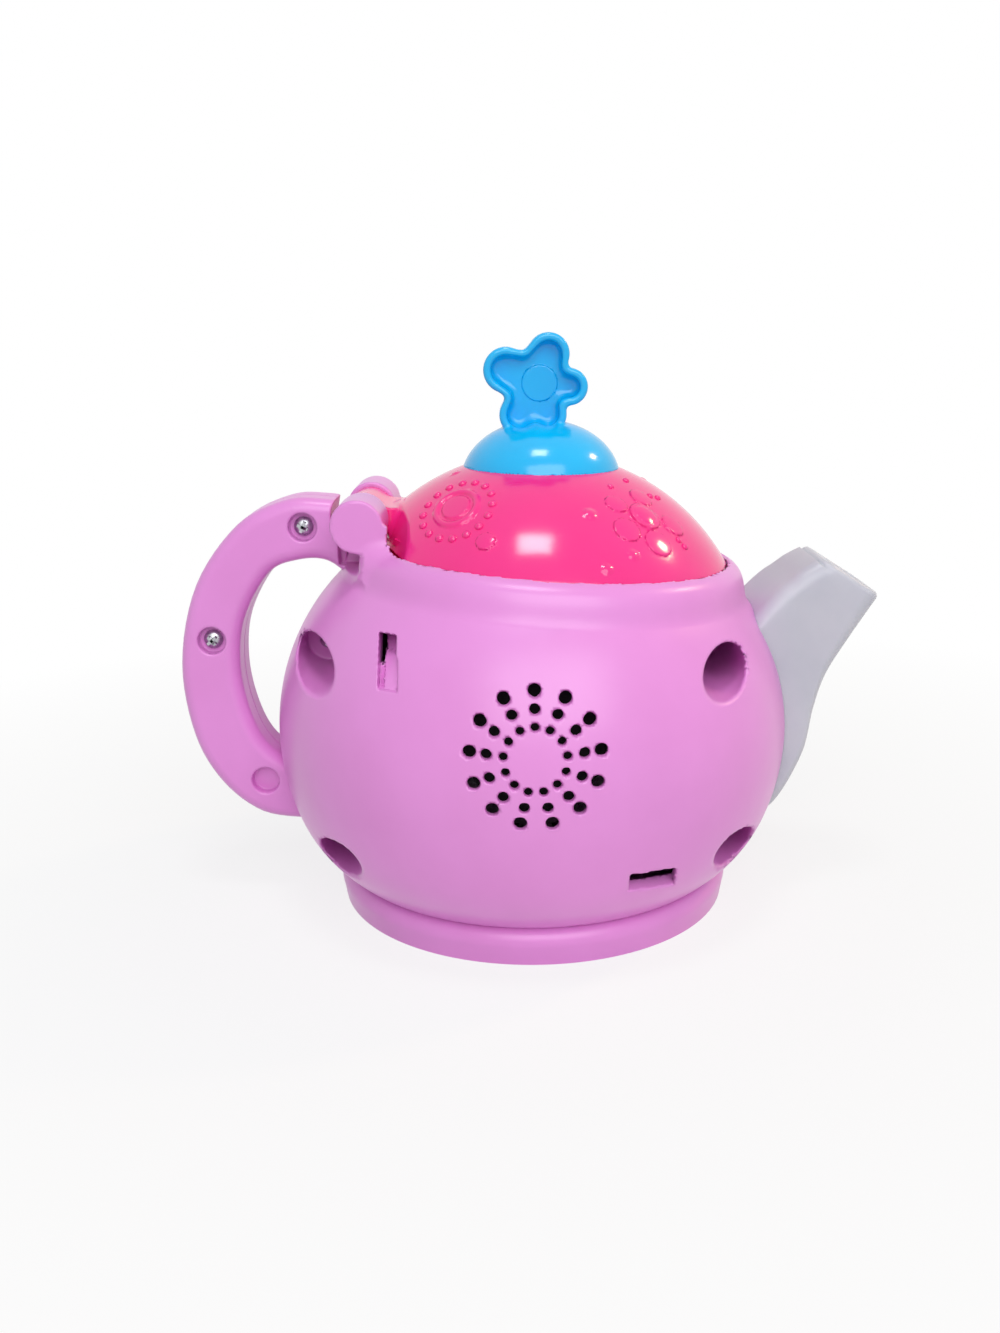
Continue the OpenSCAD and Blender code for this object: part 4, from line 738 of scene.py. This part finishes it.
def lid_field(x, y, z):
    """Distance field of the lid, with its larger ornaments and the hinge's knuckle."""
    lid_edge, seat_edge, facet_edge, trim_edge, button_edge, web_corner = 0.4, 0.3, 0.35, 0.5, 0.45, 0.3
    relief_foot, coin_foot, web_foot, knuckle_foot = 0.25, 0.12, 2.0, 1.5
    u, w = in_mouth(x, z)
    q = np.hypot(u, y)
    centre = np.sqrt(q * q + (w + LID_ARC - LID_RISE) ** 2)
    facet = FACET[0] * x + FACET[1] * np.abs(y) + FACET[2] * z - FACET[3]
    solid = meet(centre - LID_ARC, q - LID_R, lid_edge)
    solid = meet(solid, -w - LID_SEAT, seat_edge)
    solid = meet(solid, facet, facet_edge)
    for face in (1, -1):
        at, out, long, short = oval_frame(face)
        offset = x - at[0], y - at[1], z - at[2]
        aside = np.hypot(part_along(offset, long) / OVAL_LONG, part_along(offset, short))
        high = part_along(offset, out) + aside ** 2 / (2 * LID_ARC)
        solid = join(solid, np.hypot(aside - OVAL_WIDE, high + RING_SUNK) - RING_R, relief_foot)
        solid = join(solid, meet(aside - BUTTON_R, high - BUTTON_RISE, button_edge), relief_foot)
    for at, out, r, rise in swells:
        solid = join(solid, pebble(x, y, z, at, out, r, rise), relief_foot)
    for at, out, r, rise in coins:
        solid = join(solid, coin(x, y, z, at, out, r, rise), coin_foot)
    hinge = rod(x, z, (HINGE_X, HINGE_Z), 0)
    hollow = np.maximum.reduce([centre - LID_ARC, q - LID_R, facet, TRIM_R - hinge]) + LID_WALL
    solid = np.maximum(solid, -hollow)
    solid = meet(solid, TRIM_R - hinge, trim_edge)
    knuckle = meet(hinge - KNUCKLE_R, np.abs(y) - KNUCKLE, trim_edge)
    web = np.maximum(pane(x, z, *WEB, web_corner), np.abs(y) - KNUCKLE)
    solid = join(solid, join(knuckle, web, web_foot), knuckle_foot)
    ear_room = np.maximum(hinge - EAR_R - HINGE_GAP, KNUCKLE + KNUCKLE_GAP - np.abs(y))
    return np.maximum(solid, -ear_room)


# Hot pink ABS from a polished mould: a clear gloss with crisp highlights.
hot_pink_abs = moulded_abs("hot_pink_abs", "#F6278B", "#F12186", 0.13, 0.17, 26, 0.7, 0.006)
lines = (stations(-50, 53, 0.6, ((-34.0, -12.0, 0.5), (8.0, 34.0, 0.5))),
         stations(-48, 48, 0.6, ((-45.0, -12.0, 0.52),)),
         stations(90, 124, 0.6, ((90.0, 99.6, 0.4),)))
points, faces, normals = skin_of(lid_field, lines)
lid_dome = piece("lid_dome", points, faces, hot_pink_abs, normals)
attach(lid_dome, "lid")
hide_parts("lid")

spots = []
for face in (1, -1):
    at, out, long, short = oval_frame(face)
    for k in range(DOTS):
        turn = 2 * math.pi * k / DOTS
        spot = at + DOT_RING * (OVAL_LONG * math.cos(turn) * long + math.sin(turn) * short) - dome_centre
        spots.append((spot / np.linalg.norm(spot), DOT_R))
    spots += [(on_dome(u * face, v * face)[1], r) for u, v, r in SMALL_DOTS]


def dot_tree():
    """Round dots on points of the lid, each laid flat on the dome."""
    tree = bpy.data.node_groups.new("relief_dots", "GeometryNodeTree")
    face = tree.interface
    face.new_socket("Geometry", in_out="INPUT", socket_type="NodeSocketGeometry")
    face.new_socket("Rise", in_out="INPUT", socket_type="NodeSocketFloat")
    face.new_socket("Plastic", in_out="INPUT", socket_type="NodeSocketMaterial")
    face.new_socket("Geometry", in_out="OUTPUT", socket_type="NodeSocketGeometry")
    given = add(tree, "NodeGroupInput").outputs
    out = add(tree, "GeometryNodeInputNamedAttribute", {"Name": "out"}, data_type="FLOAT_VECTOR").outputs[0]
    wide = add(tree, "GeometryNodeInputNamedAttribute", {"Name": "wide"}, data_type="FLOAT").outputs[0]
    ball = add(tree, "GeometryNodeMeshUVSphere", {"Segments": 14, "Rings": 8, "Radius": 1.0}).outputs["Mesh"]
    ball = add(tree, "GeometryNodeSetShadeSmooth", {"Geometry": ball, "Shade Smooth": True}).outputs[0]
    flat = reckon(tree, "MULTIPLY", wide, given["Rise"])
    size = add(tree, "ShaderNodeCombineXYZ", {"X": wide, "Y": wide, "Z": flat}).outputs[0]
    lay = add(tree, "FunctionNodeAlignRotationToVector", {"Vector": out}, axis="Z").outputs[0]
    laid = add(tree, "GeometryNodeInstanceOnPoints", {"Points": given["Geometry"], "Instance": ball,
                                                      "Rotation": lay, "Scale": size}).outputs[0]
    real = add(tree, "GeometryNodeRealizeInstances", {"Geometry": laid}).outputs[0]
    made = add(tree, "GeometryNodeSetMaterial", {"Geometry": real, "Material": given["Plastic"]}).outputs[0]
    add(tree, "NodeGroupOutput", {"Geometry": made})
    return tree


ways = np.array([way for way, _ in spots])
lid_dots = grown("lid_dots", dome_centre + LID_ARC * ways, dot_tree(),
                 {"Rise": DOT_RISE, "Plastic": hot_pink_abs},
                 {"out": ("FLOAT_VECTOR", ways), "wide": ("FLOAT", [r * MM for _, r in spots])})
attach(lid_dots, "lid")

# Liner and tray: the hot pink disc that closes the lid from below, and the shallow bowl that
# is screwed to the ledge under it.
dress(("lid_liner", "tea_tray"), hot_pink_abs)

# Knob: a sky blue ABS cap on the lid's crown with an upright flower, which is an open tray with a
# low disc on its floor. Two screws hold it from inside the lid.
KNOB_X, KNOB_Z, KNOB_WIDE, KNOB_TALL, KNOB_WALL, KNOB_SUNK = 3.2, 111.6, 20.7, 15.6, 2.2, 0.2
FLOWER_X, FLOWER_Z, FLOWER_CORE, FLOWER_T, FLOWER_WALL, FLOWER_DEPTH = 2.2, 136.6, 8.4, 9.0, 2.0, 4.6
DISC, DISC_R, DISC_RISE = (1.0, -0.3), 4.6, 0.35
FLOWER_PETALS = ((3.3, 7.0, 5.3), (-7.6, 3.2, 5.7), (-4.2, -8.0, 5.2), (3.0, -8.0, 4.8), (8.6, -1.2, 4.6))


def egg(x, y, z, wide, tall):
    """Distance from a flattened ball with an upright axis."""
    near = np.sqrt((x * x + y * y) / wide ** 2 + z * z / tall ** 2)
    steep = np.sqrt((x * x + y * y) / wide ** 4 + z * z / tall ** 4)
    return near * (near - 1) / np.maximum(steep, 1e-6)


def knob_field(x, y, z):
    """Distance field of the knob: a hollow cap grown together with the flower's tray."""
    petal_crease, flower_edge, cap_foot, tray_edge, disc_edge = 1.8, 0.95, 0.6, 2.0, 0.3
    u, w = in_mouth(x, z)
    lid_top = np.sqrt(u * u + y * y + (w + LID_ARC - LID_RISE) ** 2) - LID_ARC
    cap = egg(x - KNOB_X, y, z - KNOB_Z, KNOB_WIDE, KNOB_TALL)
    a, b = x - FLOWER_X, z - FLOWER_Z
    plan = np.hypot(a, b) - FLOWER_CORE
    for pa, pb, r in FLOWER_PETALS:
        plan = join(plan, rod(a, b, (pa, pb), r), petal_crease)
    flower = meet(plan, np.abs(y) - FLOWER_T / 2, flower_edge)
    solid = join(flower, cap, cap_foot)
    floor = y + FLOWER_T / 2 - FLOWER_DEPTH
    tray = meet(plan + FLOWER_WALL, floor, tray_edge)
    disc = meet(rod(a, b, DISC, DISC_R), -floor - DISC_RISE, disc_edge)
    tray = np.maximum(tray, -disc)
    solid = meet(solid, -tray, flower_edge)
    inner = egg(x - KNOB_X, y, z - KNOB_Z, KNOB_WIDE - KNOB_WALL, KNOB_TALL - KNOB_WALL)
    solid = np.maximum(solid, -inner)
    return np.maximum(solid, -lid_top - KNOB_SUNK)


# Sky blue ABS from a polished mould.
sky_blue_abs = moulded_abs("sky_blue_abs", "#02BAF6", "#02B3F0", 0.15, 0.19, 20, 0.7, 0.006)
lines = (stations(-20, 30, 0.4), stations(-22, 22, 0.4), stations(112, 152, 0.4))
points, faces, normals = skin_of(knob_field, lines)
knob = piece("flower_knob_skin", points, faces, sky_blue_abs, normals)
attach(knob, "lid")
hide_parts("flower_knob")

# Works inside: cells, contacts, boards, speaker, lamps, switches and leads, hidden in the pot.
# They keep their solids and take the finish of what each is made of.
def plain_stuff(name, light, deep, grain_mm, rough, metal=0.0, see_through=0.0):
    """A surface with a fine mottle of its own two shades."""
    made, tree, shader, place = finish(name)
    mottle = add(tree, "ShaderNodeTexNoise", {"Vector": place, "Scale": 1 / (grain_mm * MM), "Detail": 4.0})
    colour = add(tree, "ShaderNodeValToRGB", {"Fac": mottle.outputs["Fac"]},
                 ramp=[(0.35, tint(deep)), (0.65, tint(light))])
    tree.links.new(colour.outputs["Color"], shader.inputs["Base Color"])
    shader.inputs["Roughness"].default_value = rough
    shader.inputs["Metallic"].default_value = metal
    shader.inputs["Transmission Weight"].default_value = see_through
    return made


black_nylon = plain_stuff("black_nylon", "#2F2F33", "#232326", 0.8, 0.5)
INNER = (
    (zinc_plated_steel, ("door_screw", "battery_springs", "battery_contacts", "led_screws", "knob_screws",
                         "hinge_pin", "tray_screws", "speaker_frame", "speaker_screws", "board_screws",
                         "tilt_cap", "tilt_ball")),
    (black_nylon, ("switch_slider", "switch_case", "board_parts", "tilt_case")),
    (plain_stuff("green_solder_mask", "#2E6B3A", "#28602F", 1.5, 0.35), ("led_board", "main_board")),
    (plain_stuff("cell_film", "#4A4A50", "#3E3E44", 3.0, 0.3), ("battery_cells",)),
    (plain_stuff("coated_paper", "#2A2A2C", "#202022", 0.6, 0.8), ("speaker_cone",)),
    (plain_stuff("sintered_ferrite", "#3A3A3D", "#2E2E31", 0.5, 0.6), ("speaker_magnet",)),
    (plain_stuff("clear_epoxy", "#F2F2EE", "#E9E9E2", 2.0, 0.08, see_through=0.6), ("spout_lamps",)),
    (plain_stuff("red_pvc", "#C02A24", "#B02019", 1.2, 0.4), ("speaker_lead",)),
    (plain_stuff("yellow_pvc", "#DDB324", "#CFA51C", 1.2, 0.4), ("led_lead",)),
    (plain_stuff("black_pvc", "#262628", "#1D1D1F", 1.2, 0.4), ("switch_lead",)),
)
for stuff, names in INNER:
    dress(names, stuff)

# Studio: a plain pale floor that keeps the shadow, a white surround, and soft lamps above, in front
# and to the right, the one above where it shows as a patch on the front of the lid.
FLOOR = 3000
LAMPS = (
    ("key", (-0.01, -0.22, 1.09), (0.0, -0.04, 0.08), (0.26, 0.2), "#FFFFFF", 2.3),
    ("front", (0.14, -1.0, 0.76), (0.0, 0.0, 0.06), (1.1, 0.8), "#FFFFFF", 8.4),
    ("warm", (0.78, 0.27, 0.70), (0.0, 0.0, 0.08), (0.09, 0.09), "#FFD9A8", 1.8),
)


def seen_rays(tree):
    """Adds nodes that give 1 for rays that a viewer sees, straight, mirrored or through glass."""
    path = add(tree, "ShaderNodeLightPath").outputs
    seen = reckon(tree, "MAXIMUM", path["Is Camera Ray"], path["Is Glossy Ray"])
    return reckon(tree, "MAXIMUM", seen, path["Is Transmission Ray"])


pale = bpy.data.materials.new("pale_floor")
floor = piece("floor", [(-FLOOR, -FLOOR, 0), (FLOOR, -FLOOR, 0), (FLOOR, FLOOR, 0), (-FLOOR, FLOOR, 0)],
              [(0, 1, 2, 3)], pale)
pale.use_nodes = True
tree = pale.node_tree
matt = add(tree, "ShaderNodeBsdfDiffuse", {"Color": tint("#E4E4E4")})
glow = add(tree, "ShaderNodeEmission", {"Color": (1, 1, 1, 1), "Strength": 1.0})
place = add(tree, "ShaderNodeTexCoord").outputs["Object"]
away = add(tree, "ShaderNodeVectorMath", {0: place}, operation="LENGTH").outputs["Value"]
fade = add(tree, "ShaderNodeMapRange", {"Value": away, "From Min": 0.1, "From Max": 0.32,
                                        "To Min": 0.8, "To Max": 1.0}).outputs["Result"]
share = reckon(tree, "MULTIPLY", seen_rays(tree), fade)
mixed = add(tree, "ShaderNodeMixShader", {0: share, 1: matt.outputs[0], 2: glow.outputs[0]})
tree.links.new(mixed.outputs[0], tree.nodes["Material Output"].inputs["Surface"])

world = bpy.data.worlds.new("studio")
bpy.context.scene.world = world
world.use_nodes = True
tree = world.node_tree
white = add(tree, "ShaderNodeBackground", {"Color": (1, 1, 1, 1), "Strength": 1.0})
fill = add(tree, "ShaderNodeBackground", {"Color": tint("#F4F6FA"), "Strength": 0.37})
mixed = add(tree, "ShaderNodeMixShader", {0: seen_rays(tree), 1: fill.outputs[0], 2: white.outputs[0]})
tree.links.new(mixed.outputs[0], tree.nodes["World Output"].inputs["Surface"])

for name, place, target, size, colour, power in LAMPS:
    lamp = bpy.data.lights.new(name, "AREA")
    lamp.shape, lamp.energy, lamp.color = "RECTANGLE", power, tint(colour)[:3]
    lamp.size, lamp.size_y = size
    made = bpy.data.objects.new(name, lamp)
    made.location = place
    made.rotation_euler = (Vector(target) - Vector(place)).to_track_quat("-Z", "Y").to_euler()
    bpy.context.scene.collection.objects.link(made)

bpy.context.scene.view_settings.view_transform = "Standard"
